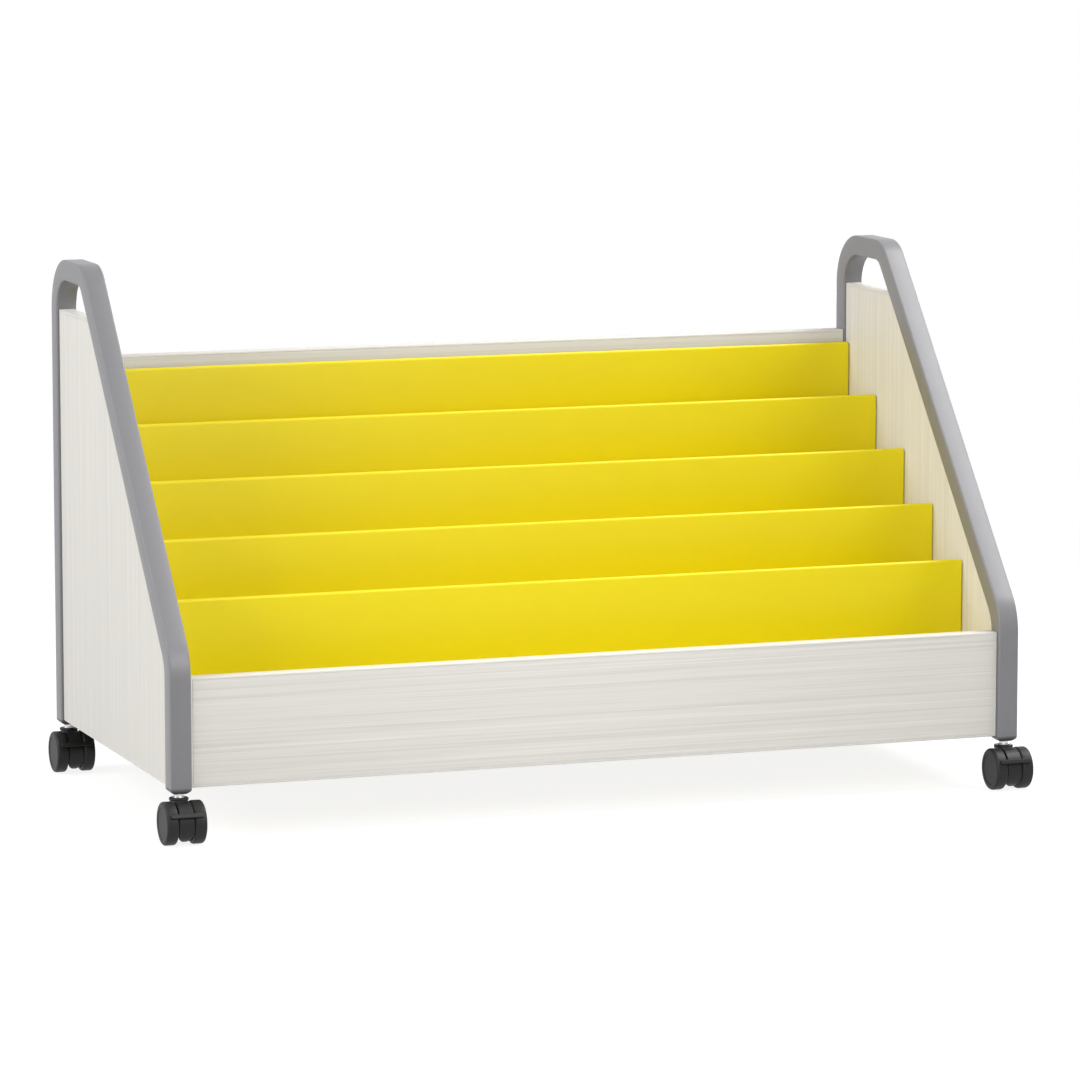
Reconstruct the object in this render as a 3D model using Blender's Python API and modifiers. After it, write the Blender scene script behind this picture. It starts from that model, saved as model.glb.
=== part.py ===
"""Mobile book display shelf.

Two bent-tube end frames carry laminate end panels. A front board, a back panel and five
stepped steel trays run between them, and each post stands on a twin-wheel caster with a
brake pedal. Metres, +Z up. The front faces -Y. The origin is on the floor, under the middle
of the box that holds the whole shelf.
"""

import math

import bmesh
import bpy
from mathutils import Euler, Matrix, Vector

# End frames: square steel tube bent three times
WIDTH = 1.0668              # outside of one frame to the outside of the other
FRAME_DEPTH = 0.5208        # front of the front post to rear of the rear post
FRAME_TOP = 0.6377          # top of the handle above the floor
TUBE_FOOT = 0.0640          # lower end of the posts above the floor
TUBE = 0.0254               # side of the square tube
TUBE_CORNER = 0.0020        # outer corner radius of the tube
TUBE_INNER_CORNER = 0.0010
TUBE_WALL = 0.0016
HANDLE_LENGTH = 0.1466      # along the top, before its two corners are rounded off
KNEE_HEIGHT = 0.2158        # corner of slope and front post, before rounding
KNEE_BEND = 0.0664          # outer bend radii, from the front to the rear
HANDLE_BEND = 0.0493
REAR_BEND = 0.0650
BEND_STEP = math.radians(9)

# Laminate boards
BOARD = 0.0190              # thickness
EDGE_ROUND = 0.0012
FINGER_GAP = 0.0384         # between an end panel's top and the handle above it
FRONT_BOARD_HEIGHT = 0.1285
BACK_PANEL_DROP = 0.1237    # top of the back panel below the top of the frames
FIT_GAP = 0.0003            # between pieces that touch

# Trays: one folded sheet each, all alike
TRAY_COUNT = 5
SHEET = 0.0012
FIRST_CLEARANCE = 0.0024    # front board to the first tray
LAST_CLEARANCE = 0.0142     # last tray's plate to the back panel
FIRST_TRAY_RISE = 0.0738    # first tray's top above the front board's top
LAST_TRAY_DROP = 0.0151     # last tray's top below the back panel's top
TRAY_HEIGHT = 0.1750
TRAY_LIP = 0.0150           # upstand on the tray's front edge
TRAY_FOLD = 0.0025          # inner fold radius
HEM_RADIUS = 0.0030         # outside of the rolled top edge
HEM_RETURN = 0.0080
END_TAB_DEPTH = 0.0130      # tabs folded back along the end panels
END_TAB_HEIGHT = 0.0800
END_TAB_DROP = 0.0105       # tab's top below the rolled edge, clear of its return
END_GAP = 0.0005            # tab to end panel

# Angle brackets in the lower corners
BRACKET_LEG = 0.0220
BRACKET_HEIGHT = 0.0220
BRACKET_SHEET = 0.0020
BRACKET_RAISE = 0.0040      # above the boards' lower edges

# Caps in the lower ends of the posts
PLUG_RIM = 0.0008           # straight edge under the tube
PLUG_DOME = 0.0054
PLUG_FOOT = 0.0145          # across the flat at the dome's bottom
PLUG_CURVE = 1.3            # 1 is a plain slope, 2 a full dome
PLUG_INSERT = 0.0280        # length inside the tube
STEM_CLEARANCE = 0.0003     # round the stem, in cap and caster

# Casters
WHEEL_RADIUS = 0.0254
WHEEL_WIDTH = 0.0145
WHEEL_GAP = 0.0007          # wheel to caster body
WHEEL_RIM_ROUND = 0.0030
WHEEL_INNER_ROUND = 0.0028
WHEEL_RECESS = 0.0060       # depth of the hollow in a wheel's inner face
WHEEL_RIM = 0.0040          # thickness of the rim round that hollow
TRAIL = 0.0127              # axle in front of the stem
BODY_WIDTH = 0.0176
SHIELD_INSET = 0.0025       # body's front shield inside the wheels' outline
SHIELD_SKIN = 0.0030        # thickness
SHIELD_LOW = math.radians(66)
SHIELD_FOOT = 0.0042        # rounded lower end, above the floor
SHIELD_TIP = 0.0123         # height of that rounding
BOSS_RADIUS = 0.0085        # round the axle
COLLAR_RADIUS = 0.0115
COLLAR_SINK = 0.0008        # collar's base below the top of the wheels
COLLAR_HEIGHT = 0.0027
AXLE_RADIUS = 0.0030
AXLE_HOLD = 0.0085          # length of the axle in each wheel
HUB_RADIUS = 0.0065
RUNNING = 0.0003            # clearance of the turning fits
STEM_RADIUS = 0.0055
STEM_PIVOT = 0.0040         # radius of the stem's lower end
STEM_PIVOT_DEPTH = 0.0130
STEM_FLANGE = 0.0072
STEM_FLANGE_HEIGHT = 0.0013
STEM_REACH = 0.0240         # into the post
STEM_CHAMFER = 0.0014

# Brake pedals, which rock about the axles
PEDAL_SKIN = 0.0022         # thickness of the curved neck
PEDAL_WIDTH = 0.0170
PEDAL_LOW = math.radians(21)
PEDAL_HIGH = math.radians(84)
PEDAL_TRAVEL = math.radians(12)
TOE_WIDTH = 0.0395
TOE_REACH = 0.0038          # beyond the wheels
TOE_CLEARANCE = 0.0007
TOE_ANGLE = math.radians(10.5)
ARM_WIDTH = 0.0050
ARM_DEPTH = 0.0070
ARM_ANGLE = math.radians(52)
RING_RADIUS = 0.0055

# Facets of round pieces, and the steps of arcs
WHEEL_FACETS = 28
SHAFT_FACETS = 16
DOME_RINGS = 3
CORNER_STEP = math.radians(45)
FOLD_STEP = math.radians(30)
RING_STEP = math.radians(24)
PEDAL_STEP = math.radians(8)
TIP_STEP = math.radians(18)
SMOOTH_LIMIT = math.radians(35)
MERGE = 0.00001

# Places worked out from the sizes above
COLLAR_BASE = 2 * WHEEL_RADIUS - COLLAR_SINK
COLLAR_TOP = COLLAR_BASE + COLLAR_HEIGHT
TREAD_RADIUS = WHEEL_RADIUS / math.cos(math.pi / WHEEL_FACETS)
TOE_INNER = TREAD_RADIUS + TOE_CLEARANCE
TOE_OUTER = WHEEL_RADIUS + TOE_REACH
FRONT_REACH = TRAIL + TOE_OUTER * math.cos(PEDAL_LOW)
POST_FRONT = -(FRAME_DEPTH - FRONT_REACH + TUBE / 2) / 2
POST_REAR = POST_FRONT + FRAME_DEPTH
FRONT_STEM = POST_FRONT + TUBE / 2
REAR_STEM = POST_REAR - TUBE / 2
TUBE_CENTRE_X = (WIDTH - TUBE) / 2
INNER_X = WIDTH / 2 - TUBE
PANEL_FACE_X = TUBE_CENTRE_X - BOARD / 2
PANEL_TOP = FRAME_TOP - TUBE - FINGER_GAP
BACK_PANEL_TOP = FRAME_TOP - BACK_PANEL_DROP
FRONT_BOARD_TOP = TUBE_FOOT + FRONT_BOARD_HEIGHT
FRONT_BOARD_REAR = POST_FRONT + TUBE
BACK_PANEL_FRONT = POST_REAR - TUBE
LAST_PLATE = BACK_PANEL_FRONT - LAST_CLEARANCE
TRAY_STEP_BACK = (LAST_PLATE - FRONT_BOARD_REAR - FIRST_CLEARANCE + SHEET) / TRAY_COUNT
FIRST_PLATE = LAST_PLATE - (TRAY_COUNT - 1) * TRAY_STEP_BACK
FIRST_TRAY_TOP = FRONT_BOARD_TOP + FIRST_TRAY_RISE
LAST_TRAY_TOP = BACK_PANEL_TOP - LAST_TRAY_DROP
TRAY_STEP_UP = (LAST_TRAY_TOP - FIRST_TRAY_TOP) / (TRAY_COUNT - 1)
TRAY_DEPTH = TRAY_STEP_BACK - SHEET - FIT_GAP
SLOPE = math.atan2(FRAME_TOP - KNEE_HEIGHT, FRAME_DEPTH - HANDLE_LENGTH)
AXLE_CENTRE = Vector((0.0, -TRAIL, WHEEL_RADIUS))
SHIELD_RADIUS = WHEEL_RADIUS - SHIELD_INSET

# Turns a flat outline drawn in (y, z) so that its thickness runs along X
ACROSS = Euler((math.pi / 2, 0.0, math.pi / 2)).to_matrix().to_4x4()

SHELF = bpy.data.collections.new("book_display_shelf")
CUTTERS = bpy.data.collections.new("cutters")


def clear_scene():
    """Remove every object and link the two collections."""
    for thing in list(bpy.data.objects):
        bpy.data.objects.remove(thing, do_unlink=True)
    for group in (SHELF, CUTTERS):
        bpy.context.scene.collection.children.link(group)


def finish(name, colour, roughness, metallic=0.0):
    """A plain Principled material."""
    material = bpy.data.materials.new(name)
    material.use_nodes = True
    shader = material.node_tree.nodes["Principled BSDF"]
    shader.inputs["Base Color"].default_value = (*colour, 1.0)
    shader.inputs["Roughness"].default_value = roughness
    shader.inputs["Metallic"].default_value = metallic
    return material


def part(name, mesh, material, parent=None, location=(0.0, 0.0, 0.0), turn=(0.0, 0.0, 0.0)):
    """One named piece of the shelf."""
    piece = bpy.data.objects.new(name, mesh)
    SHELF.objects.link(piece)
    if not mesh.materials:
        mesh.materials.append(material)
    piece.parent = parent
    piece.location = location
    piece.rotation_euler = turn
    return piece


def pivot(name, location, parent=None):
    """An empty that carries pieces."""
    empty = bpy.data.objects.new(name, None)
    SHELF.objects.link(empty)
    empty.empty_display_size = TUBE
    empty.parent = parent
    empty.location = location
    return empty


def cutter(name, mesh):
    """A hidden shape for Boolean work."""
    tool = bpy.data.objects.new(name, mesh)
    CUTTERS.objects.link(tool)
    tool.hide_render = True
    tool.display_type = "WIRE"
    return tool


def shape(bm, name):
    """Turn a bmesh into a mesh with its faces outwards and its round sides smooth."""
    bm.normal_update()
    bmesh.ops.recalc_face_normals(bm, faces=bm.faces)
    mesh = bpy.data.meshes.new(name)
    bm.to_mesh(mesh)
    bm.free()
    mesh.shade_smooth()
    mesh.set_sharp_from_angle(angle=SMOOTH_LIMIT)
    return mesh


def slab(name, outline, thickness, turn=ACROSS):
    """A flat outline thickened about its own plane and then turned."""
    curve = bpy.data.curves.new(name, "CURVE")
    curve.dimensions = "2D"
    curve.fill_mode = "BOTH"
    curve.extrude = thickness / 2
    spline = curve.splines.new("POLY")
    spline.points.add(len(outline) - 1)
    for point, (u, v) in zip(spline.points, outline):
        point.co = (u, v, 0.0, 1.0)
    spline.use_cyclic_u = True
    drawing = bpy.data.objects.new(name, curve)
    bpy.context.scene.collection.objects.link(drawing)
    seen = drawing.evaluated_get(bpy.context.evaluated_depsgraph_get())
    filled = bpy.data.meshes.new_from_object(seen)
    bpy.data.objects.remove(drawing, do_unlink=True)
    bm = bmesh.new()
    bm.from_mesh(filled)
    bpy.data.meshes.remove(filled)
    bmesh.ops.remove_doubles(bm, verts=bm.verts, dist=MERGE)
    bm.transform(turn)
    return shape(bm, name)


def rod(name, radius, length, facets, place=Matrix()):
    """A cylinder centred on the place given, along its Z."""
    bm = bmesh.new()
    bmesh.ops.create_cone(bm, cap_ends=True, segments=facets, radius1=radius,
                          radius2=radius, depth=length, matrix=place)
    return shape(bm, name)


def along_x(centre):
    """A place whose Z points along +X."""
    return Matrix.Translation(centre) @ Matrix.Rotation(math.pi / 2, 4, "Y")


def settle(base, steps):
    """Join or cut a mesh with others in turn and return the result."""
    work = cutter(base.name, base)
    for index, (operation, tool_mesh) in enumerate(steps):
        step = work.modifiers.new(f"{operation.lower()}_{index}", "BOOLEAN")
        step.operation = operation
        step.object = cutter(f"{base.name}_{tool_mesh.name}", tool_mesh)
        step.solver = "EXACT"
    seen = work.evaluated_get(bpy.context.evaluated_depsgraph_get())
    result = bpy.data.meshes.new_from_object(seen)
    result.name = f"{base.name}_done"
    result.shade_smooth()
    result.set_sharp_from_angle(angle=SMOOTH_LIMIT)
    return result


def arc(centre, radius, start, end, step=BEND_STEP):
    """Points on an arc in (y, z), from one angle to another, both included."""
    count = max(2, math.ceil(abs(end - start) / step))
    angles = [start + (end - start) * i / count for i in range(count + 1)]
    return [(centre[0] + radius * math.cos(a), centre[1] + radius * math.sin(a)) for a in angles]


def frame_corners(inset):
    """Knee, handle and rear corners of the frame's outline in (y, z), moved inwards."""
    knee_turn = math.pi / 2 - SLOPE
    knee = Vector((POST_FRONT + inset, KNEE_HEIGHT - inset * math.tan(knee_turn / 2)))
    handle = Vector((POST_REAR - HANDLE_LENGTH + inset * math.tan(SLOPE / 2), FRAME_TOP - inset))
    rear = Vector((POST_REAR - inset, FRAME_TOP - inset))
    return knee, handle, rear


def tube_section(bm):
    """The square ring of the tube, flat at the foot of the front post."""
    loops = []
    for half, corner in ((TUBE / 2, TUBE_CORNER), (TUBE / 2 - TUBE_WALL, TUBE_INNER_CORNER)):
        flat = half - corner
        ring = []
        for quarter in range(4):
            mid = (quarter + 0.5) * math.pi / 2
            centre = (math.copysign(flat, math.cos(mid)), math.copysign(flat, math.sin(mid)))
            ring += arc(centre, corner, quarter * math.pi / 2, (quarter + 1) * math.pi / 2, CORNER_STEP)
        loops.append([bm.verts.new((x, FRONT_STEM + y, TUBE_FOOT)) for x, y in ring])
    edges = []
    for loop in loops:
        edges += [bm.edges.new((a, b)) for a, b in zip(loop, loop[1:] + loop[:1])]
    return bmesh.ops.bridge_loops(bm, edges=edges)["faces"]


def frame_tube():
    """The hollow tube, drawn up the front post, over the handle and down the rear post."""
    knee, handle, rear = frame_corners(TUBE / 2)
    turns = (math.pi / 2 - SLOPE, SLOPE, math.pi / 2)
    radii = [bend - TUBE / 2 for bend in (KNEE_BEND, HANDLE_BEND, REAR_BEND)]
    tangents = [radius * math.tan(turn / 2) for radius, turn in zip(radii, turns)]
    runs = (
        knee.y - tangents[0] - TUBE_FOOT,
        (handle - knee).length - tangents[0] - tangents[1],
        (rear - handle).length - tangents[1] - tangents[2],
    )
    bm = bmesh.new()
    section = tube_section(bm)
    bmesh.ops.duplicate(bm, geom=section)
    heading = math.pi / 2
    at = Vector((FRONT_STEM, TUBE_FOOT))
    for run, turn, radius in zip(runs, turns, radii):
        along = Vector((math.cos(heading), math.sin(heading)))
        section = extend(bm, section, Matrix.Translation((0.0, *(along * run))))
        at += along * run
        centre = Vector((0.0, *(at + radius * Vector((along.y, -along.x)))))
        steps = math.ceil(turn / BEND_STEP)
        tilt = Matrix.Rotation(-turn / steps, 4, "X")
        bend = Matrix.Translation(centre) @ tilt @ Matrix.Translation(-centre)
        for _ in range(steps):
            section = extend(bm, section, bend)
        heading -= turn
        along = Vector((math.cos(heading), math.sin(heading)))
        at = centre.yz - radius * Vector((along.y, -along.x))
    extend(bm, section, Matrix.Translation((0.0, 0.0, TUBE_FOOT - at.y)))
    bmesh.ops.remove_doubles(bm, verts=bm.verts, dist=MERGE)
    return shape(bm, "frame_tube")


def extend(bm, section, move):
    """Draw a section out by a movement, drop its old faces and return its new ones."""
    drawn = bmesh.ops.extrude_face_region(bm, geom=section)["geom"]
    bmesh.ops.delete(bm, geom=section, context="FACES")
    verts = [item for item in drawn if isinstance(item, bmesh.types.BMVert)]
    bmesh.ops.transform(bm, matrix=move, verts=verts)
    return [item for item in drawn if isinstance(item, bmesh.types.BMFace)]


def end_panel():
    """The laminate that fills an end frame up to the finger gap."""
    inset = TUBE + FIT_GAP
    knee, handle, rear = frame_corners(inset)
    radius = KNEE_BEND - inset
    turn = math.pi / 2 - SLOPE
    centre = (knee.x + radius, knee.y - radius * math.tan(turn / 2))
    slope_run = (PANEL_TOP - handle.y) / math.tan(SLOPE)
    outline = [(rear.x, TUBE_FOOT), (rear.x, PANEL_TOP), (handle.x + slope_run, PANEL_TOP)]
    outline += arc(centre, radius, math.pi - turn, math.pi)
    outline.append((knee.x, TUBE_FOOT))
    return slab("end_panel", outline, BOARD)


def board(name, low, high):
    """A laminate board between two corners, its edges eased."""
    bm = bmesh.new()
    size = Vector(high) - Vector(low)
    middle = (Vector(high) + Vector(low)) / 2
    bmesh.ops.create_cube(bm, size=1.0, matrix=Matrix.Translation(middle) @ Matrix.Diagonal(size).to_4x4())
    bmesh.ops.bevel(bm, geom=bm.edges[:], offset=EDGE_ROUND, segments=1, affect="EDGES")
    return shape(bm, name)


def tray():
    """One folded sheet: lip, floor, plate and rolled edge, with tabs at its ends.

    The plate's face is at y = 0 and the rolled edge's top at z = 0.
    """
    floor = -TRAY_HEIGHT + SHEET
    lip = -TRAY_DEPTH + SHEET
    plate_top = -HEM_RADIUS
    tab_top = plate_top - END_TAB_DROP
    tab_low = tab_top - END_TAB_HEIGHT
    fold = TRAY_FOLD
    line = [(lip, floor + TRAY_LIP)]
    line += arc((lip + fold, floor + fold), fold, math.pi, 1.5 * math.pi, FOLD_STEP)
    line += arc((-fold, floor + fold), fold, -math.pi / 2, 0.0, FOLD_STEP)
    line += [(0.0, tab_low), (0.0, tab_top)]
    line += arc((HEM_RADIUS, plate_top), HEM_RADIUS, math.pi, 0.0, FOLD_STEP)
    line.append((2 * HEM_RADIUS, plate_top - HEM_RETURN))
    half = PANEL_FACE_X - END_GAP
    bm = bmesh.new()
    verts = [bm.verts.new((-half, y, z)) for y, z in line]
    edges = [bm.edges.new(pair) for pair in zip(verts, verts[1:])]
    drawn = bmesh.ops.extrude_edge_only(bm, edges=edges)["geom"]
    moved = [item for item in drawn if isinstance(item, bmesh.types.BMVert)]
    bmesh.ops.translate(bm, verts=moved, vec=(2 * half, 0.0, 0.0))
    tabs = [edge for edge in bm.edges if is_tab_edge(edge, tab_low, tab_top)]
    folded = bmesh.ops.extrude_edge_only(bm, edges=tabs)["geom"]
    moved = [item for item in folded if isinstance(item, bmesh.types.BMVert)]
    bmesh.ops.translate(bm, verts=moved, vec=(0.0, END_TAB_DEPTH, 0.0))
    mesh = shape(bm, "tray")
    plate = max(mesh.polygons, key=lambda face: face.area * abs(face.normal.y))
    if plate.normal.y < 0:
        mesh.flip_normals()
    return mesh


def is_tab_edge(edge, low, high):
    """Whether an edge is the end of the plate between two heights."""
    heights = sorted(vert.co.z for vert in edge.verts)
    upright = abs(edge.verts[0].co.x - edge.verts[1].co.x) < MERGE
    in_plate = all(abs(vert.co.y) < MERGE for vert in edge.verts)
    spans = abs(heights[0] - low) < MERGE and abs(heights[1] - high) < MERGE
    return upright and in_plate and spans


def bracket(side, facing):
    """An angle bracket: one leg along a board, the other along an end panel."""
    outer = BRACKET_LEG
    inner = BRACKET_SHEET
    outline = [(0.0, 0.0), (outer, 0.0), (outer, inner), (inner, inner), (inner, outer), (0.0, outer)]
    if side * facing < 0:
        outline.reverse()
    placed = [(-side * u, facing * v) for u, v in outline]
    return slab(f"bracket_{side}_{facing}", placed, BRACKET_HEIGHT, Matrix())


def plug():
    """The post's cap: a dome under the tube and a square insert in it, bored for the stem."""
    bm = bmesh.new()
    cap_top = TUBE_FOOT - FIT_GAP
    bmesh.ops.create_cube(bm, size=TUBE, matrix=Matrix.Translation((0.0, 0.0, cap_top - TUBE / 2)))
    lower = [vert for vert in bm.verts if vert.co.z < cap_top - TUBE / 2]
    for vert in lower:
        vert.co.z = cap_top - PLUG_RIM
    upright = [edge for edge in bm.edges if abs(edge.verts[0].co.z - edge.verts[1].co.z) > MERGE]
    bmesh.ops.bevel(bm, geom=upright, offset=TUBE_CORNER, segments=2, affect="EDGES")
    foot = [min(bm.faces, key=lambda face: face.calc_center_median().z)]
    width = TUBE
    for ring in range(1, DOME_RINGS + 1):
        wanted = TUBE - (TUBE - PLUG_FOOT) * (ring / DOME_RINGS) ** PLUG_CURVE
        narrower = Matrix.Diagonal((wanted / width, wanted / width, 1.0, 1.0))
        foot = extend(bm, foot, Matrix.Translation((0.0, 0.0, -PLUG_DOME / DOME_RINGS)) @ narrower)
        width = wanted
    dome = shape(bm, "plug")
    insert = bmesh.new()
    side = TUBE - 2 * TUBE_WALL - 2 * FIT_GAP
    sunk = PLUG_DOME / 3
    size = Matrix.Diagonal((side, side, PLUG_INSERT + sunk, 1.0))
    middle = Matrix.Translation((0.0, 0.0, cap_top + (PLUG_INSERT - sunk) / 2))
    bmesh.ops.create_cube(insert, size=1.0, matrix=middle @ size)
    upright = [edge for edge in insert.edges if abs(edge.verts[0].co.z - edge.verts[1].co.z) > MERGE]
    bmesh.ops.bevel(insert, geom=upright, offset=TUBE_INNER_CORNER, segments=2, affect="EDGES")
    bore = rod("bore", STEM_RADIUS + STEM_CLEARANCE, 4 * PLUG_INSERT, SHAFT_FACETS,
               Matrix.Translation((0.0, 0.0, cap_top)))
    return settle(dome, [("UNION", shape(insert, "insert")), ("DIFFERENCE", bore)])


def turned(name, profile, facets):
    """A profile of (radius, height), run down its outer side, turned about Z by half a facet."""
    half = math.pi / facets
    mesh = bpy.data.meshes.new(name)
    points = [(r * math.cos(half), r * math.sin(half), h) for r, h in profile]
    mesh.from_pydata(points, [(i, i + 1) for i in range(len(points) - 1)], [])
    work = cutter(name, mesh)
    screw = work.modifiers.new("turn", "SCREW")
    screw.steps = facets
    screw.render_steps = facets
    screw.use_merge_vertices = True
    screw.merge_threshold = MERGE
    seen = work.evaluated_get(bpy.context.evaluated_depsgraph_get())
    bm = bmesh.new()
    bm.from_mesh(bpy.data.meshes.new_from_object(seen))
    bpy.data.objects.remove(work, do_unlink=True)
    bmesh.ops.remove_doubles(bm, verts=bm.verts, dist=MERGE)
    return shape(bm, f"{name}_turned")


def caster_wheel():
    """A wheel with a plain outer face, a round rim and a hollow inner side; Z points outwards."""
    to_flat = 1 / math.cos(math.pi / WHEEL_FACETS)
    rim = WHEEL_RIM_ROUND
    face = WHEEL_WIDTH
    inner_rim = WHEEL_RADIUS - WHEEL_RIM
    bore = AXLE_RADIUS + RUNNING
    shoulder = arc((WHEEL_RADIUS - rim, face - rim), rim, math.pi / 2, 0.0, CORNER_STEP)
    inside = WHEEL_INNER_ROUND
    profile = [(0.0, face)] + shoulder
    profile += arc((WHEEL_RADIUS - inside, inside), inside, 0.0, -math.pi / 2, CORNER_STEP)
    profile += [
        (inner_rim, 0.0),
        (inner_rim, WHEEL_RECESS),
        (HUB_RADIUS, WHEEL_RECESS),
        (HUB_RADIUS, 0.0),
        (bore, 0.0),
        (bore, AXLE_HOLD + RUNNING),
        (0.0, AXLE_HOLD + RUNNING),
    ]
    return turned("wheel", [(r * to_flat, h) for r, h in profile], WHEEL_FACETS)


def caster_stem():
    """The steel stem: pivot, flange and shank with a chamfered top."""
    top = TUBE_FOOT + STEM_REACH
    flange_low = COLLAR_TOP + RUNNING
    flange_top = flange_low + STEM_FLANGE_HEIGHT
    profile = [
        (0.0, top),
        (STEM_RADIUS - STEM_CHAMFER, top),
        (STEM_RADIUS, top - STEM_CHAMFER),
        (STEM_RADIUS, flange_top),
        (STEM_FLANGE, flange_top),
        (STEM_FLANGE, flange_low),
        (STEM_PIVOT, flange_low),
        (STEM_PIVOT, COLLAR_TOP - STEM_PIVOT_DEPTH),
        (0.0, COLLAR_TOP - STEM_PIVOT_DEPTH),
    ]
    return turned("stem", profile, SHAFT_FACETS)


def around_axle(radius, angle):
    """A point in (y, z) at an angle up from the front of the axle."""
    return (AXLE_CENTRE.y - radius * math.cos(angle), AXLE_CENTRE.z + radius * math.sin(angle))


def beside_axle(radius, angle, aside):
    """As around_axle, moved aside at right angles towards larger angles."""
    y, z = around_axle(radius, angle)
    return (y + aside * math.sin(angle), z + aside * math.cos(angle))


def caster_body():
    """The body between the wheels: front shield, boss, hood, collar, and room for stem, axle and arm."""
    centre = (AXLE_CENTRE.y, AXLE_CENTRE.z)
    low = math.pi + SHIELD_LOW
    high = math.pi / 2
    outside = arc(centre, SHIELD_RADIUS, high, low, PEDAL_STEP)
    inside = arc(centre, SHIELD_RADIUS - SHIELD_SKIN, low, high, 2 * PEDAL_STEP)
    shield = slab("caster_body", outside + inside, BODY_WIDTH)
    half = BODY_WIDTH / 2 + RUNNING
    tip = SHIELD_FOOT + SHIELD_TIP
    rounding = arc((0.0, 0.0), 1.0, math.pi, 2 * math.pi, TIP_STEP)
    tongue = slab("tongue", [(half, 3 * WHEEL_RADIUS), (-half, 3 * WHEEL_RADIUS)]
                  + [(half * u, tip + SHIELD_TIP * v) for u, v in rounding],
                  4 * WHEEL_RADIUS, Matrix.Rotation(math.pi / 2, 4, "X"))
    boss = rod("boss", BOSS_RADIUS, BODY_WIDTH, SHAFT_FACETS, along_x(AXLE_CENTRE))
    hood_front = PEDAL_HIGH + RUNNING / WHEEL_RADIUS
    hood = slab("hood", [
        around_axle(HUB_RADIUS, hood_front),
        around_axle(WHEEL_RADIUS, hood_front),
        around_axle(WHEEL_RADIUS, math.pi / 2),
        (COLLAR_RADIUS, 2 * WHEEL_RADIUS),
        (COLLAR_RADIUS - HUB_RADIUS, WHEEL_RADIUS + HUB_RADIUS),
    ], BODY_WIDTH - 2 * RUNNING)
    collar = rod("collar", COLLAR_RADIUS, COLLAR_HEIGHT, WHEEL_FACETS,
                 Matrix.Translation((0.0, 0.0, (COLLAR_BASE + COLLAR_TOP) / 2)))
    depth = STEM_PIVOT_DEPTH + STEM_CLEARANCE
    stem_bore = rod("stem_bore", STEM_PIVOT + STEM_CLEARANCE, 2 * depth, SHAFT_FACETS,
                    Matrix.Translation((0.0, 0.0, COLLAR_TOP)))
    axle_bore = rod("axle_bore", AXLE_RADIUS + RUNNING, 2 * BODY_WIDTH, SHAFT_FACETS,
                    along_x(AXLE_CENTRE))
    slot_width = ARM_WIDTH + 2 * RUNNING
    room = ARM_DEPTH / 2 + 2 * RUNNING
    lowest = ARM_ANGLE - PEDAL_TRAVEL
    slot = slab("arm_slot", [
        beside_axle(0.0, ARM_ANGLE, room),
        beside_axle(WHEEL_RADIUS, ARM_ANGLE, room),
        beside_axle(WHEEL_RADIUS, lowest, -room),
        beside_axle(0.0, lowest, -room),
    ], slot_width)
    ring_room = rod("ring_room", RING_RADIUS + 2 * RUNNING, slot_width, SHAFT_FACETS, along_x(AXLE_CENTRE))
    return settle(shield, [
        ("INTERSECT", tongue),
        ("UNION", hood),
        ("UNION", boss),
        ("UNION", collar),
        ("DIFFERENCE", stem_bore),
        ("DIFFERENCE", slot),
        ("DIFFERENCE", ring_room),
        ("DIFFERENCE", axle_bore),
    ])


def brake_pedal():
    """The curved neck over the body, its wide toe, and the arm down to a ring on the axle."""
    inner = WHEEL_RADIUS - PEDAL_SKIN
    centre = (AXLE_CENTRE.y, AXLE_CENTRE.z)
    low = math.pi - PEDAL_LOW
    high = math.pi - PEDAL_HIGH
    toe_top = low - TOE_ANGLE
    inside_toe = TOE_ANGLE / 8
    link_low = low - inside_toe
    link_top = toe_top + inside_toe
    outline = arc(centre, inner, link_low, high, PEDAL_STEP)
    outline += arc(centre, WHEEL_RADIUS, high, link_top, PEDAL_STEP)
    outline += arc(centre, (TOE_INNER + TOE_OUTER) / 2, link_top, link_low, PEDAL_STEP)
    neck = slab("brake_pedal", outline, PEDAL_WIDTH)
    lip = [around_axle(TOE_OUTER, PEDAL_LOW + TOE_ANGLE / 2), around_axle(TOE_OUTER, PEDAL_LOW)]
    toe = slab("toe", arc(centre, TOE_INNER, low, toe_top, PEDAL_STEP) + lip, TOE_WIDTH)
    reach = inner + PEDAL_SKIN / 2
    aim = math.pi - ARM_ANGLE
    spread = math.asin(ARM_DEPTH / 2 / RING_RADIUS)
    outline = [beside_axle(reach, ARM_ANGLE, -ARM_DEPTH / 2), beside_axle(reach, ARM_ANGLE, ARM_DEPTH / 2)]
    outline += arc(centre, RING_RADIUS, aim - spread, aim + spread - 2 * math.pi, RING_STEP)
    arm = slab("arm", outline, ARM_WIDTH)
    bore = rod("ring_bore", AXLE_RADIUS + RUNNING, 2 * ARM_WIDTH, SHAFT_FACETS, along_x(AXLE_CENTRE))
    whole = settle(neck, [("UNION", toe), ("UNION", arm), ("DIFFERENCE", bore)])
    whole.transform(Matrix.Translation(-AXLE_CENTRE))
    return whole


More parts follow.
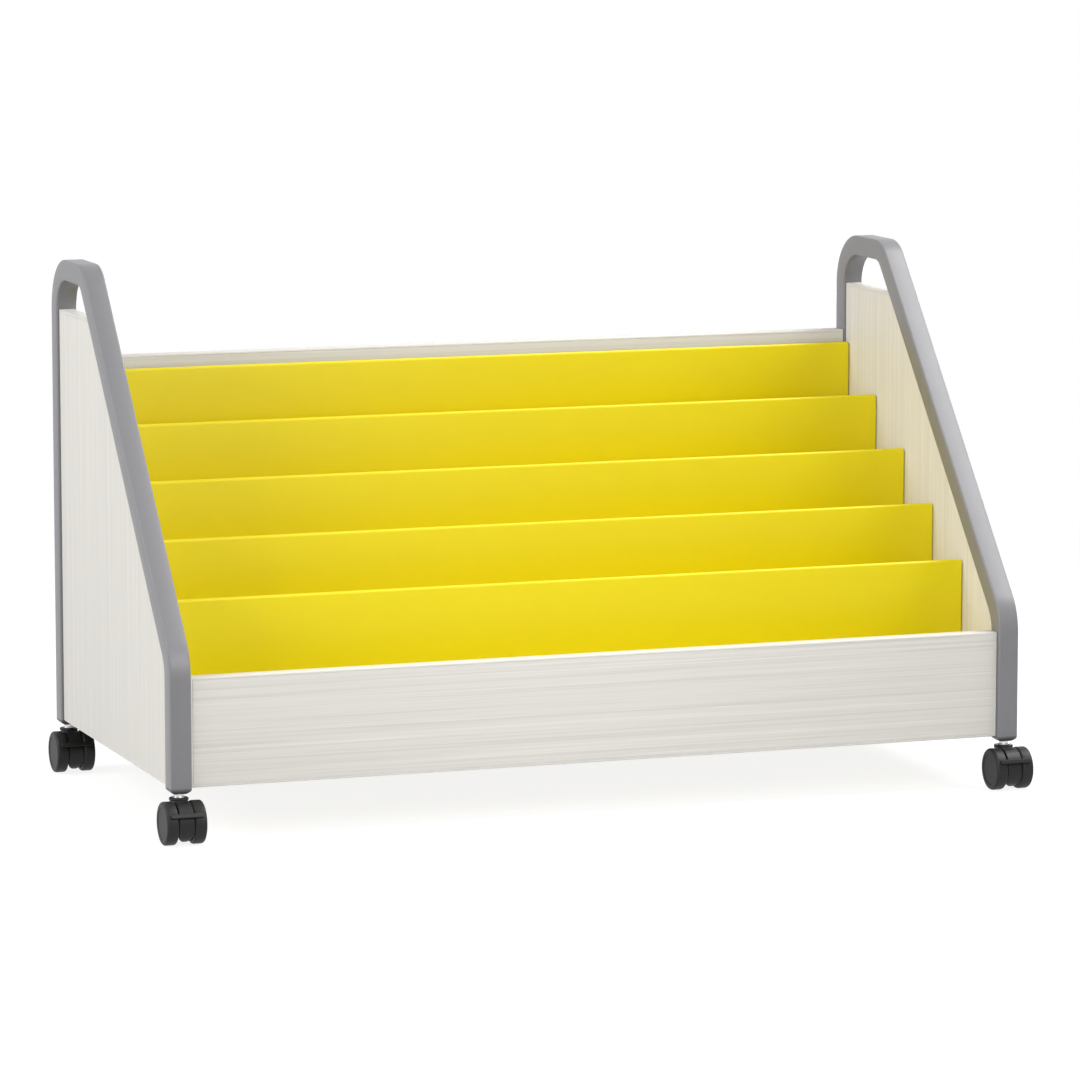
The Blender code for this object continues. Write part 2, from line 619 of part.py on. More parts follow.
def build_frames(shelf, paints):
    """Both end frames with their panels, caps, boards and brackets."""
    tube = frame_tube()
    panel = end_panel()
    cap = plug()
    for side, hand in ((-1, "left"), (1, "right")):
        x = side * TUBE_CENTRE_X
        part(f"{hand}_frame_tube", tube, paints["tube"], shelf, (x, 0.0, 0.0))
        part(f"{hand}_end_panel", panel, paints["laminate"], shelf, (x, 0.0, 0.0))
        for end, y, board_face, facing in (
            ("front", FRONT_STEM, FRONT_BOARD_REAR, 1),
            ("rear", REAR_STEM, BACK_PANEL_FRONT, -1),
        ):
            part(f"post_cap_{end}_{hand}", cap, paints["cap"], shelf, (x, y, 0.0))
            corner = (
                side * (PANEL_FACE_X - FIT_GAP),
                board_face + facing * FIT_GAP,
                TUBE_FOOT + BRACKET_RAISE + BRACKET_HEIGHT / 2,
            )
            part(f"corner_bracket_{end}_{hand}", bracket(side, facing), paints["bracket"], shelf, corner)
    half = INNER_X - FIT_GAP
    front = board("front_board", (-half, FRONT_BOARD_REAR - BOARD, TUBE_FOOT),
                  (half, FRONT_BOARD_REAR, FRONT_BOARD_TOP))
    back = board("back_panel", (-half, BACK_PANEL_FRONT, TUBE_FOOT),
                 (half, BACK_PANEL_FRONT + BOARD, BACK_PANEL_TOP))
    part("front_board", front, paints["laminate"], shelf)
    part("back_panel", back, paints["laminate"], shelf)


def build_trays(shelf, paints):
    """The stepped trays, numbered from the front."""
    sheet = tray()
    for index in range(TRAY_COUNT):
        place = (0.0, FIRST_PLATE + index * TRAY_STEP_BACK, FIRST_TRAY_TOP + index * TRAY_STEP_UP)
        folded = part(f"tray_{index + 1}", sheet, paints["tray"], shelf, place)
        wall = folded.modifiers.new("sheet", "SOLIDIFY")
        wall.thickness = SHEET
        wall.offset = 1.0
        wall.solidify_mode = "NON_MANIFOLD"
        wall.nonmanifold_thickness_mode = "CONSTRAINTS"


def build_casters(shelf, paints):
    """Four casters, one under each post, with their brake pedals to the front."""
    stem = caster_stem()
    body = caster_body()
    wheel = caster_wheel()
    pedal = brake_pedal()
    axle_length = BODY_WIDTH + 2 * (WHEEL_GAP + AXLE_HOLD)
    axle = rod("axle", AXLE_RADIUS, axle_length, SHAFT_FACETS, along_x((0.0, 0.0, 0.0)))
    wheel_x = BODY_WIDTH / 2 + WHEEL_GAP
    quarter = math.pi / 2
    for side, hand in ((-1, "left"), (1, "right")):
        for end, y in (("front", FRONT_STEM), ("rear", REAR_STEM)):
            where = f"{end}_{hand}"
            place = (side * TUBE_CENTRE_X, y, 0.0)
            swivel = pivot(f"caster_swivel_{where}", place, shelf)
            part(f"caster_stem_{where}", stem, paints["steel"], shelf, place)
            part(f"caster_body_{where}", body, paints["nylon"], swivel)
            part(f"caster_axle_{where}", axle, paints["steel"], swivel, AXLE_CENTRE)
            part(f"brake_pedal_{where}", pedal, paints["nylon"], swivel, AXLE_CENTRE)
            for out in (-1, 1):
                name = "outer" if out == side else "inner"
                part(f"{name}_wheel_{where}", wheel, paints["wheel"], swivel,
                     AXLE_CENTRE + Vector((out * wheel_x, 0.0, 0.0)), (0.0, out * quarter, 0.0))


def main():
    """Build the shelf."""
    clear_scene()
    paints = {
        "tube": finish("grey_powder_coat", (0.28, 0.28, 0.28), 0.45),
        "laminate": finish("pale_grained_laminate", (0.74, 0.72, 0.67), 0.5),
        "tray": finish("yellow_powder_coat", (0.80, 0.62, 0.02), 0.45),
        "bracket": finish("zinc_plated_sheet", (0.55, 0.55, 0.55), 0.4, 1.0),
        "cap": finish("dark_grey_cap", (0.10, 0.10, 0.10), 0.5),
        "steel": finish("bright_steel", (0.60, 0.60, 0.60), 0.3, 1.0),
        "nylon": finish("black_nylon", (0.03, 0.03, 0.03), 0.45),
        "wheel": finish("black_wheel_nylon", (0.035, 0.035, 0.035), 0.5),
    }
    shelf = pivot("shelf", (0.0, 0.0, 0.0))
    build_frames(shelf, paints)
    build_trays(shelf, paints)
    build_casters(shelf, paints)


main()
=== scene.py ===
"""Mobile book display shelf at full finish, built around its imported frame.

Metres, +Z up, the front towards -Y, in the frame's own coordinates. Each sub-assembly is a
class: end frames, edged boards, trays, corner brackets, post ends and casters. Every new piece
is modelled with Blender's mesh operators, dressed in a finish and seated on the body that
carries it. What repeats is modelled once, as a pattern, and copied.
"""

import logging
import math
from contextlib import contextmanager
from dataclasses import dataclass, field
from enum import Enum
from typing import Callable, Iterator, Optional, Union

import bmesh
import bpy
from mathutils import Matrix, Vector

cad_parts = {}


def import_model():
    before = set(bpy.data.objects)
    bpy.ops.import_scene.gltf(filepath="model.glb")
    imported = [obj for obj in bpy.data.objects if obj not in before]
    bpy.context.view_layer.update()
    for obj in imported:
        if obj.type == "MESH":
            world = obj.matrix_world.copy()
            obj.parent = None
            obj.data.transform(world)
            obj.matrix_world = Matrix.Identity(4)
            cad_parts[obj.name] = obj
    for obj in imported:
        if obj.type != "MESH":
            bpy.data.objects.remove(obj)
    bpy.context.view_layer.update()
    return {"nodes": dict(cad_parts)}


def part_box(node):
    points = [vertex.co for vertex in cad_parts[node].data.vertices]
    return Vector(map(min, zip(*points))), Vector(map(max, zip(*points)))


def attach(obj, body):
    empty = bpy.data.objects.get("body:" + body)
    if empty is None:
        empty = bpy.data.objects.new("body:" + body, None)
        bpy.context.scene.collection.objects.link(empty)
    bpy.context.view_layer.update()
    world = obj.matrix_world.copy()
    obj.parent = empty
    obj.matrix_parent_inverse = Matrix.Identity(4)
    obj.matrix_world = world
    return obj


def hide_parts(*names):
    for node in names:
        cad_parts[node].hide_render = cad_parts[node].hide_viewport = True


LOG = logging.getLogger("book_display_shelf")
Colour = tuple[float, float, float]
Test = Callable[[object], bool]
Scales = tuple[float, float, float]
TOUCH = 0.00001
THROUGH = 0.1
SMOOTH_ANGLE = math.radians(32)


class Side(Enum):
    """The two ends of the shelf, by the sign of their X."""

    LEFT = -1
    RIGHT = 1

    @property
    def word(self) -> str:
        """The side's name in the frame's nodes."""
        return self.name.lower()


class End(Enum):
    """The two rows of posts, by the sign of their Y."""

    FRONT = -1
    REAR = 1

    @property
    def word(self) -> str:
        """The row's name in the frame's nodes."""
        return self.name.lower()


class Pick(Enum):
    """What a selection is made of."""

    VERTS = "VERT"
    EDGES = "EDGE"
    FACES = "FACE"


class Fit(Enum):
    """How a tool acts on a piece."""

    JOIN = "UNION"
    CUT = "DIFFERENCE"
    TRIM = "INTERSECT"


class Grain(Enum):
    """The axis that a laminate's grain follows, and the axis across it."""

    LEVEL = (0, 2)
    UPRIGHT = (2, 1)


def only(*pieces: bpy.types.Object) -> None:
    """Select some objects alone and make the first one active.

    Args:
        pieces: the objects to select.
    """
    bpy.ops.object.select_all(action="DESELECT")
    for piece in pieces:
        piece.select_set(True)
    bpy.context.view_layer.objects.active = pieces[0]


@contextmanager
def editing(piece: bpy.types.Object) -> Iterator[None]:
    """Edit mode on one object, with nothing selected at the start.

    Args:
        piece: the object to edit.

    Returns:
        A context that leaves edit mode at its end.
    """
    only(piece)
    bpy.ops.object.mode_set(mode="EDIT")
    bpy.ops.mesh.select_mode(type="VERT")
    bpy.ops.mesh.select_all(action="DESELECT")
    yield
    bpy.ops.object.mode_set(mode="OBJECT")


def pick(piece: bpy.types.Object, kind: Pick, test: Test) -> None:
    """Select the parts of a mesh in edit mode that pass a test, and nothing else.

    Args:
        piece: the object in edit mode.
        kind: whether vertices, edges or faces are tested.
        test: takes a vertex, edge or face and says whether it is wanted.
    """
    bpy.ops.mesh.select_mode(type=kind.value)
    bpy.ops.mesh.select_all(action="DESELECT")
    mesh = bmesh.from_edit_mesh(piece.data)
    parts = {Pick.VERTS: mesh.verts, Pick.EDGES: mesh.edges, Pick.FACES: mesh.faces}[kind]
    for part in [part for part in parts if test(part)]:
        part.select_set(True)
    mesh.select_flush_mode()
    bmesh.update_edit_mesh(piece.data)


def middle(part: object) -> Vector:
    """The middle of a part of a mesh.

    Args:
        part: a vertex, edge or face.

    Returns:
        Its place, or the mean of its vertices.
    """
    if isinstance(part, bmesh.types.BMVert):
        return part.co
    return sum((vert.co for vert in part.verts), Vector()) / len(part.verts)


def at(axis: int, value: float) -> Test:
    """A test for parts that lie wholly at one value of an axis.

    Args:
        axis: 0, 1 or 2 for X, Y or Z.
        value: where on that axis.

    Returns:
        The test, for a vertex, edge or face.
    """

    def test(part: object) -> bool:
        """Whether every vertex of a part is there."""
        verts = [part] if isinstance(part, bmesh.types.BMVert) else part.verts
        return all(abs(vert.co[axis] - value) < TOUCH for vert in verts)

    return test


def draw_out(move: tuple[float, float, float]) -> None:
    """Extrude what is selected by a move."""
    bpy.ops.mesh.extrude_region_move(TRANSFORM_OT_translate={"value": move})


def swing(angle: float, centre: tuple[float, float, float], steps: int) -> None:
    """Extrude what is selected round a line along X.

    Args:
        angle: the turn, positive from +Y towards +Z.
        centre: a point on the line.
        steps: the number of segments.
    """
    bpy.ops.mesh.spin(steps=steps, angle=-angle, center=centre, axis=(1.0, 0.0, 0.0))


def new_piece(name: str) -> bpy.types.Object:
    """Name the primitive that was just added, with its place put into its mesh.

    Args:
        name: the name of the object and its mesh.

    Returns:
        The object.
    """
    piece = bpy.context.active_object
    bpy.ops.object.transform_apply(location=True, rotation=True, scale=True)
    piece.name = name
    piece.data.name = name
    return piece


def sheet_piece(name: str, centre: Vector, size: tuple[float, float], turn: tuple) -> bpy.types.Object:
    """A flat rectangle to start a piece from.

    Args:
        name: the piece's name.
        centre: the rectangle's middle.
        size: its two sides.
        turn: Euler angles from the XY plane.

    Returns:
        The new object.
    """
    bpy.ops.object.select_all(action="DESELECT")
    bpy.ops.mesh.primitive_plane_add(size=1.0, location=centre, rotation=turn)
    bpy.context.active_object.scale = (*size, 1.0)
    return new_piece(name)


def block(name: str, low: Vector, high: Vector) -> bpy.types.Object:
    """A box to start a piece from.

    Args:
        name: the piece's name.
        low: the box's lowest corner.
        high: its highest corner.

    Returns:
        The new object.
    """
    bpy.ops.object.select_all(action="DESELECT")
    bpy.ops.mesh.primitive_cube_add(size=1.0, location=(low + high) / 2)
    bpy.context.active_object.scale = high - low
    return new_piece(name)


def round_bar(name: str, radius: float, low: float, high: float, sides: int) -> bpy.types.Object:
    """A cylinder along Z to start a turned piece from.

    Args:
        name: the piece's name.
        radius: the cylinder's radius.
        low: its lower end on Z.
        high: its upper end.
        sides: the number of its sides.

    Returns:
        The new object.
    """
    bpy.ops.object.select_all(action="DESELECT")
    bpy.ops.mesh.primitive_cylinder_add(
        vertices=sides, radius=radius, depth=high - low, location=(0.0, 0.0, (low + high) / 2)
    )
    return new_piece(name)


def modify(piece: bpy.types.Object, kind: str, **settings: object) -> None:
    """Add a modifier and apply it.

    Args:
        piece: the object to change.
        kind: the modifier's type.
        settings: its properties.
    """
    only(piece)
    step = piece.modifiers.new(kind.lower(), kind)
    for key, value in settings.items():
        setattr(step, key, value)
    bpy.ops.object.modifier_apply(modifier=step.name)


def discard(*pieces: bpy.types.Object) -> None:
    """Remove tools and patterns that are done with."""
    for piece in pieces:
        bpy.data.objects.remove(piece, do_unlink=True)


def combine(piece: bpy.types.Object, tool: bpy.types.Object, fit: Fit) -> None:
    """Join a tool to a piece, or cut or trim the piece with it; the tool is used up."""
    modify(piece, "BOOLEAN", operation=fit.value, object=tool, solver="EXACT")
    discard(tool)


def soften(piece: bpy.types.Object, width: float, segments: int = 3, angle: float = 40.0) -> None:
    """Round the sharp edges of a piece."""
    modify(piece, "BEVEL", width=width, segments=segments, limit_method="ANGLE",
           angle_limit=math.radians(angle), use_clamp_overlap=True, harden_normals=False)


def close_up(piece: bpy.types.Object) -> None:
    """Merge doubled points, turn faces outwards and shade round sides smooth.

    Args:
        piece: the object to finish.
    """
    with editing(piece):
        bpy.ops.mesh.select_all(action="SELECT")
        bpy.ops.mesh.remove_doubles(threshold=TOUCH)
        bpy.ops.mesh.normals_make_consistent(inside=False)
    only(piece)
    bpy.ops.object.shade_smooth_by_angle(angle=SMOOTH_ANGLE)


def thicken_sheet(piece: bpy.types.Object, thickness: float, offset: float = -1.0) -> None:
    """Give a folded sheet its thickness.

    Args:
        piece: the sheet.
        thickness: the thickness of the metal.
        offset: -1 to thicken it inwards and 1 outwards.
    """
    modify(piece, "SOLIDIFY", thickness=thickness, offset=offset)
    only(piece)
    bpy.ops.object.shade_smooth_by_angle(angle=SMOOTH_ANGLE)


def shift_to(node: str, low: Vector) -> Matrix:
    """The move that takes a pattern with this lowest corner to a node's place."""
    return Matrix.Translation(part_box(node)[0] - low)


def copy_of(piece: bpy.types.Object, name: str, move: Matrix) -> bpy.types.Object:
    """A copy with its own mesh, moved within that mesh.

    Args:
        piece: the pattern.
        name: the name of the copy and its mesh.
        move: the move of the mesh's points.

    Returns:
        The copy.
    """
    twin = piece.copy()
    twin.data = piece.data.copy()
    twin.name = name
    twin.data.name = name
    twin.data.transform(move)
    bpy.context.scene.collection.objects.link(twin)
    return twin


def seat(piece: bpy.types.Object, body: str, material: bpy.types.Material,
         nodes: tuple[str, ...] = ()) -> None:
    """Dress a finished piece and fix it to its body.

    Args:
        piece: the finished object.
        body: the frame's body that carries it.
        material: the finish.
        nodes: the frame's nodes that it stands for.
    """
    piece.data.materials.clear()
    piece.data.materials.append(material)
    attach(piece, body)
    if nodes:
        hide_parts(*nodes)
    LOG.info("%s on %s: %d faces", piece.name, body, len(piece.data.polygons))


class Wire:
    """One value in a material's nodes; arithmetic on it adds Math nodes."""

    def __init__(self, graph: "Graph", socket: bpy.types.NodeSocket) -> None:
        """Keep the graph and the output socket."""
        self.graph = graph
        self.socket = socket

    def math(self, operation: str, left: "Value", right: "Value") -> "Wire":
        """A Math node on two values."""
        return self.graph.node("ShaderNodeMath", {"operation": operation}, {0: left, 1: right})

    def __add__(self, other: "Value") -> "Wire":
        """Sum."""
        return self.math("ADD", self, other)

    def __mul__(self, other: "Value") -> "Wire":
        """Product."""
        return self.math("MULTIPLY", self, other)

    __radd__ = __add__


Value = Union[Wire, float, tuple]


class Graph:
    """A material's nodes round one Principled shader."""

    def __init__(self, name: str) -> None:
        """Start a material with its shader."""
        self.material = bpy.data.materials.new(name)
        self.material.use_nodes = True
        self.tree = self.material.node_tree
        self.shader = self.tree.nodes["Principled BSDF"]

    def feed(self, socket: bpy.types.NodeSocket, value: Value) -> None:
        """Link a wire to a socket, or set its constant.

        Args:
            socket: the input.
            value: a wire or a constant.
        """
        if isinstance(value, Wire):
            self.tree.links.new(value.socket, socket)
        else:
            socket.default_value = value

    def node(self, kind: str, settings: Optional[dict] = None, inputs: Optional[dict] = None,
             output: Union[int, str] = 0) -> Wire:
        """Add any node.

        Args:
            kind: the node's type.
            settings: its properties, and a ramp's stops as (place, grey) pairs.
            inputs: constants or wires for its sockets, by name or number.
            output: the socket to return.

        Returns:
            The wire at that output.
        """
        made = self.tree.nodes.new(kind)
        for key, value in (settings or {}).items():
            if key == "stops":
                self.set_stops(made.color_ramp, value)
            else:
                setattr(made, key, value)
        for key, value in (inputs or {}).items():
            self.feed(made.inputs[key], value)
        return Wire(self, made.outputs[output])

    @staticmethod
    def set_stops(ramp: bpy.types.ColorRamp, stops: list) -> None:
        """Give a ramp its stops.

        Args:
            ramp: the node's ramp.
            stops: pairs of a place and a grey value.
        """
        while len(ramp.elements) < len(stops):
            ramp.elements.new(1.0)
        for element, (place, grey) in zip(ramp.elements, stops):
            element.position = place
            element.color = (grey, grey, grey, 1.0)

    def place(self, scale: tuple[float, float, float], shift: tuple = (0.0, 0.0, 0.0)) -> Wire:
        """Object coordinates, scaled and shifted."""
        coords = self.node("ShaderNodeTexCoord", output="Object")
        return self.node("ShaderNodeMapping", None, {"Vector": coords, "Scale": scale, "Location": shift})

    def noise(self, where: Wire, scale: float = 1.0, detail: float = 2.0, rough: float = 0.5) -> Wire:
        """Soft noise from 0 to 1 at a place."""
        return self.node("ShaderNodeTexNoise", None, {
            "Vector": where, "Scale": scale, "Detail": detail, "Roughness": rough,
        })

    def ramp(self, value: Wire, stops: list) -> Wire:
        """A value sent through grey stops."""
        return self.node("ShaderNodeValToRGB", {"stops": stops}, {0: value})

    def mix(self, factor: Value, first: Value, second: Value) -> Wire:
        """One colour turned into another by a factor."""
        # The Mix node's colours are its inputs 6 and 7 and its output 2.
        return self.node("ShaderNodeMix", {"data_type": "RGBA"}, {0: factor, 6: first, 7: second}, 2)

    @staticmethod
    def uneven(mean: float, *parts: tuple[Wire, float]) -> Wire:
        """A value that noise moves to both sides of its mean.

        Args:
            mean: the value in the middle.
            parts: each noise from 0 to 1, with the share that it moves the value by.

        Returns:
            The value.
        """
        total = sum((wire * share for wire, share in parts[1:]), parts[0][0] * parts[0][1])
        return total + (mean - sum(share for _, share in parts) / 2)

    def bump(self, height: Wire, strength: float, distance: float) -> Wire:
        """A normal from a height."""
        return self.node("ShaderNodeBump", None, {
            "Height": height, "Strength": strength, "Distance": distance,
        })

    def surface(self, **sockets: Value) -> bpy.types.Material:
        """Feed the shader.

        Args:
            sockets: constants or wires by the socket's name, with underscores for spaces.

        Returns:
            The finished material.
        """
        for name, value in sockets.items():
            self.feed(self.shader.inputs[name.replace("_", " ")], value)
        return self.material


def tone(colour: Colour, by: float = 1.0) -> tuple[float, float, float, float]:
    """A colour made darker or lighter, with full alpha."""
    return (colour[0] * by, colour[1] * by, colour[2] * by, 1.0)


@dataclass(frozen=True)
class PowderCoat:
    """Baked powder paint: a faint orange peel and slightly uneven gloss.

    Clouds, pimples and specks are counted in a metre.
    """

    name: str
    colour: Colour
    roughness: float
    peel: float = 0.12
    specular: float = 0.5
    clouds: float = 26.0
    pimples: float = 520.0
    specks: float = 1500.0
    cloud_share: float = 0.55
    cloud_tone: float = 0.94
    speck_share: float = 0.06
    speck_tone: float = 0.8
    gloss_shares: tuple[float, float] = (0.08, 0.06)
    peel_depth: float = 0.0004

    def material(self) -> bpy.types.Material:
        """Build the paint.

        Returns:
            The material.
        """
        graph = Graph(self.name)
        where = graph.place((1.0, 1.0, 1.0))
        cloud = graph.noise(where, self.clouds, 3.0)
        fine = graph.noise(where, self.pimples, 2.0)
        speck = graph.ramp(graph.noise(where, self.specks, 1.0), [(0.62, 0.0), (0.74, 1.0)])
        tint = graph.mix(cloud * self.cloud_share, tone(self.colour), tone(self.colour, self.cloud_tone))
        return graph.surface(
            Base_Color=graph.mix(speck * self.speck_share, tint, tone(self.colour, self.speck_tone)),
            Roughness=graph.uneven(self.roughness, *zip((cloud, fine), self.gloss_shares)),
            Specular_IOR_Level=self.specular,
            Normal=graph.bump(fine, self.peel, self.peel_depth),
        )


@dataclass(frozen=True)
class Laminate:
    """Pale printed laminate with fine straight grain and a light texture along it.

    Each pattern has its features in a metre along and across the grain, and a shift.
    """

    name: str
    colour: Colour
    grain: Grain
    contrast: float
    bands: Scales = (0.5, 42.0, 0.0)
    lines: Scales = (1.6, 330.0, 3.1)
    hairs: Scales = (7.0, 900.0, 7.7)
    streaks: Scales = (0.9, 230.0, 9.4)
    depth: float = 4.0
    band_tones: tuple[float, float] = (1.01, 0.96)
    line_tone: float = 0.86
    hair_tone: float = 0.9
    streak_tone: float = 1.1
    share: float = 0.5
    roughness: float = 0.46
    hair_gloss: float = 0.14
    specular: float = 0.4
    relief: float = 0.12
    relief_depth: float = 0.0003

    def stretched(self, graph: Graph, pattern: Scales) -> Wire:
        """Coordinates drawn out along the grain.

        Args:
            graph: the material's nodes.
            pattern: features in a metre along and across the grain, and a shift.

        Returns:
            The coordinates.
        """
        along, across, shift = pattern
        scale = [self.depth] * 3
        scale[self.grain.value[0]] = along
        scale[self.grain.value[1]] = across
        return graph.place(tuple(scale), (shift, shift * 1.7, shift * 0.6))

    def material(self) -> bpy.types.Material:
        """Build the laminate.

        Returns:
            The material.
        """
        graph = Graph(self.name)
        bands = graph.noise(self.stretched(graph, self.bands), 1.0, 3.0, 0.6)
        lines = graph.noise(self.stretched(graph, self.lines), 1.0, 4.0, 0.65)
        hairs = graph.noise(self.stretched(graph, self.hairs), 1.0, 2.0, 0.6)
        pale = graph.ramp(graph.noise(self.stretched(graph, self.streaks), 1.0, 2.0), [
            (0.6, 0.0), (0.64, 1.0), (0.68, 0.0),
        ])
        dark = graph.ramp(lines, [(0.36, 1.0), (0.5, 0.0)])
        fibre = graph.ramp(hairs, [(0.3, 0.55), (0.5, 0.0)])
        strength = self.share * self.contrast
        base = graph.mix(bands * self.share, *(tone(self.colour, by) for by in self.band_tones))
        lined = graph.mix(dark * strength, base, tone(self.colour, self.line_tone))
        fibred = graph.mix(fibre, lined, tone(self.colour, self.hair_tone))
        return graph.surface(
            Base_Color=graph.mix(pale * strength, fibred, tone(self.colour, self.streak_tone)),
            Roughness=self.roughness + hairs * self.hair_gloss,
            Specular_IOR_Level=self.specular,
            Normal=graph.bump(hairs + lines * self.share, self.relief, self.relief_depth),
        )


@dataclass(frozen=True)
class EdgeBand:
    """Smooth plastic strip glued round a board, printed to match it."""

    name: str
    colour: Colour
    clouds: float = 60.0
    grains: float = 1400.0
    cloud_share: float = 0.6
    cloud_tones: tuple[float, float] = (1.03, 0.93)
    roughness: float = 0.36
    grain_gloss: float = 0.12
    specular: float = 0.45
    relief: float = 0.06
    relief_depth: float = 0.0002

    def material(self) -> bpy.types.Material:
        """Build the strip.

        Returns:
            The material.
        """
        graph = Graph(self.name)
        where = graph.place((1.0, 1.0, 1.0))
        cloud = graph.noise(where, self.clouds, 3.0)
        grit = graph.noise(where, self.grains, 2.0)
        tones = (tone(self.colour, by) for by in self.cloud_tones)
        return graph.surface(
            Base_Color=graph.mix(cloud * self.cloud_share, *tones),
            Roughness=self.roughness + grit * self.grain_gloss,
            Specular_IOR_Level=self.specular,
            Normal=graph.bump(grit, self.relief, self.relief_depth),
        )


@dataclass(frozen=True)
class MouldedPlastic:
    """Nylon from a spark-eroded mould: a fine even grain, slightly scuffed."""

    name: str
    colour: Colour
    roughness: float
    grain: float = 0.2
    specular: float = 0.3
    clouds: float = 90.0
    grains: float = 2600.0
    scuffs: Scales = (160.0, 900.0, 900.0)
    cloud_tones: tuple[float, float] = (0.85, 1.2)
    scuff_share: float = 0.12
    scuff_tone: float = 2.0
    gloss_shares: tuple[float, float] = (0.16, 0.1)
    grain_depth: float = 0.0002

    def material(self) -> bpy.types.Material:
        """Build the plastic.

        Returns:
            The material.
        """
        graph = Graph(self.name)
        where = graph.place((1.0, 1.0, 1.0))
        grit = graph.noise(where, self.grains, 3.0, 0.6)
        cloud = graph.noise(where, self.clouds, 4.0, 0.6)
        scuff = graph.ramp(graph.noise(graph.place(self.scuffs), 1.0, 3.0), [(0.6, 0.0), (0.72, 1.0)])
        tint = graph.mix(cloud, *(tone(self.colour, by) for by in self.cloud_tones))
        return graph.surface(
            Base_Color=graph.mix(scuff * self.scuff_share, tint, tone(self.colour, self.scuff_tone)),
            Roughness=graph.uneven(self.roughness, *zip((grit, cloud), self.gloss_shares)),
            Specular_IOR_Level=self.specular,
            Normal=graph.bump(grit, self.grain, self.grain_depth),
        )


@dataclass(frozen=True)
class PlatedSteel:
    """Plated steel with fine turning or rolling marks along one axis."""

    name: str
    colour: Colour
    roughness: float
    marks: Scales = (500.0, 500.0, 3000.0)
    clouds: float = 140.0
    cloud_tone: float = 0.86
    gloss_shares: tuple[float, float] = (0.16, 0.08)
    relief: float = 0.08
    relief_depth: float = 0.0002

    def material(self) -> bpy.types.Material:
        """Build the metal.

        Returns:
            The material.
        """
        graph = Graph(self.name)
        lines = graph.noise(graph.place(self.marks), 1.0, 3.0, 0.6)
        cloud = graph.noise(graph.place((1.0, 1.0, 1.0)), self.clouds, 3.0)
        return graph.surface(
            Base_Color=graph.mix(cloud, tone(self.colour), tone(self.colour, self.cloud_tone)),
            Metallic=1.0,
            Roughness=graph.uneven(self.roughness, *zip((lines, cloud), self.gloss_shares)),
            Normal=graph.bump(lines, self.relief, self.relief_depth),
        )


@dataclass
class Finishes:
    """Every finish of the shelf, each built once."""

    tube: bpy.types.Material = field(init=False)
    tray: bpy.types.Material = field(init=False)
    level: bpy.types.Material = field(init=False)
    upright: bpy.types.Material = field(init=False)
    band: bpy.types.Material = field(init=False)
    bracket: bpy.types.Material = field(init=False)
    steel: bpy.types.Material = field(init=False)
    screw: bpy.types.Material = field(init=False)
    cap: bpy.types.Material = field(init=False)
    nylon: bpy.types.Material = field(init=False)
    wheel: bpy.types.Material = field(init=False)

    def __post_init__(self) -> None:
        """Build the materials."""
        laminate = (0.70, 0.68, 0.635)
        self.tube = PowderCoat("grey_powder_coat", (0.200, 0.196, 0.206), 0.40).material()
        self.tray = PowderCoat("yellow_powder_coat", (0.825, 0.685, 0.001), 0.36, 0.06, 0.35).material()
        self.level = Laminate("laminate_level_grain", laminate, Grain.LEVEL, 1.6).material()
        self.upright = Laminate("laminate_upright_grain", laminate, Grain.UPRIGHT, 1.5).material()
        self.band = EdgeBand("laminate_edge_band", laminate).material()
        self.bracket = PlatedSteel("zinc_plated_sheet", (0.58, 0.59, 0.60), 0.42).material()
        self.steel = PlatedSteel("bright_turned_steel", (0.66, 0.66, 0.67), 0.24).material()
        self.screw = PlatedSteel("zinc_plated_screw", (0.62, 0.62, 0.63), 0.3).material()
        self.cap = MouldedPlastic("grey_cap_plastic", (0.125, 0.122, 0.128), 0.5, specular=0.5).material()
        self.nylon = MouldedPlastic("black_nylon", (0.009, 0.009, 0.009), 0.44).material()
        self.wheel = MouldedPlastic("black_wheel_nylon", (0.010, 0.010, 0.010), 0.48, 0.14).material()


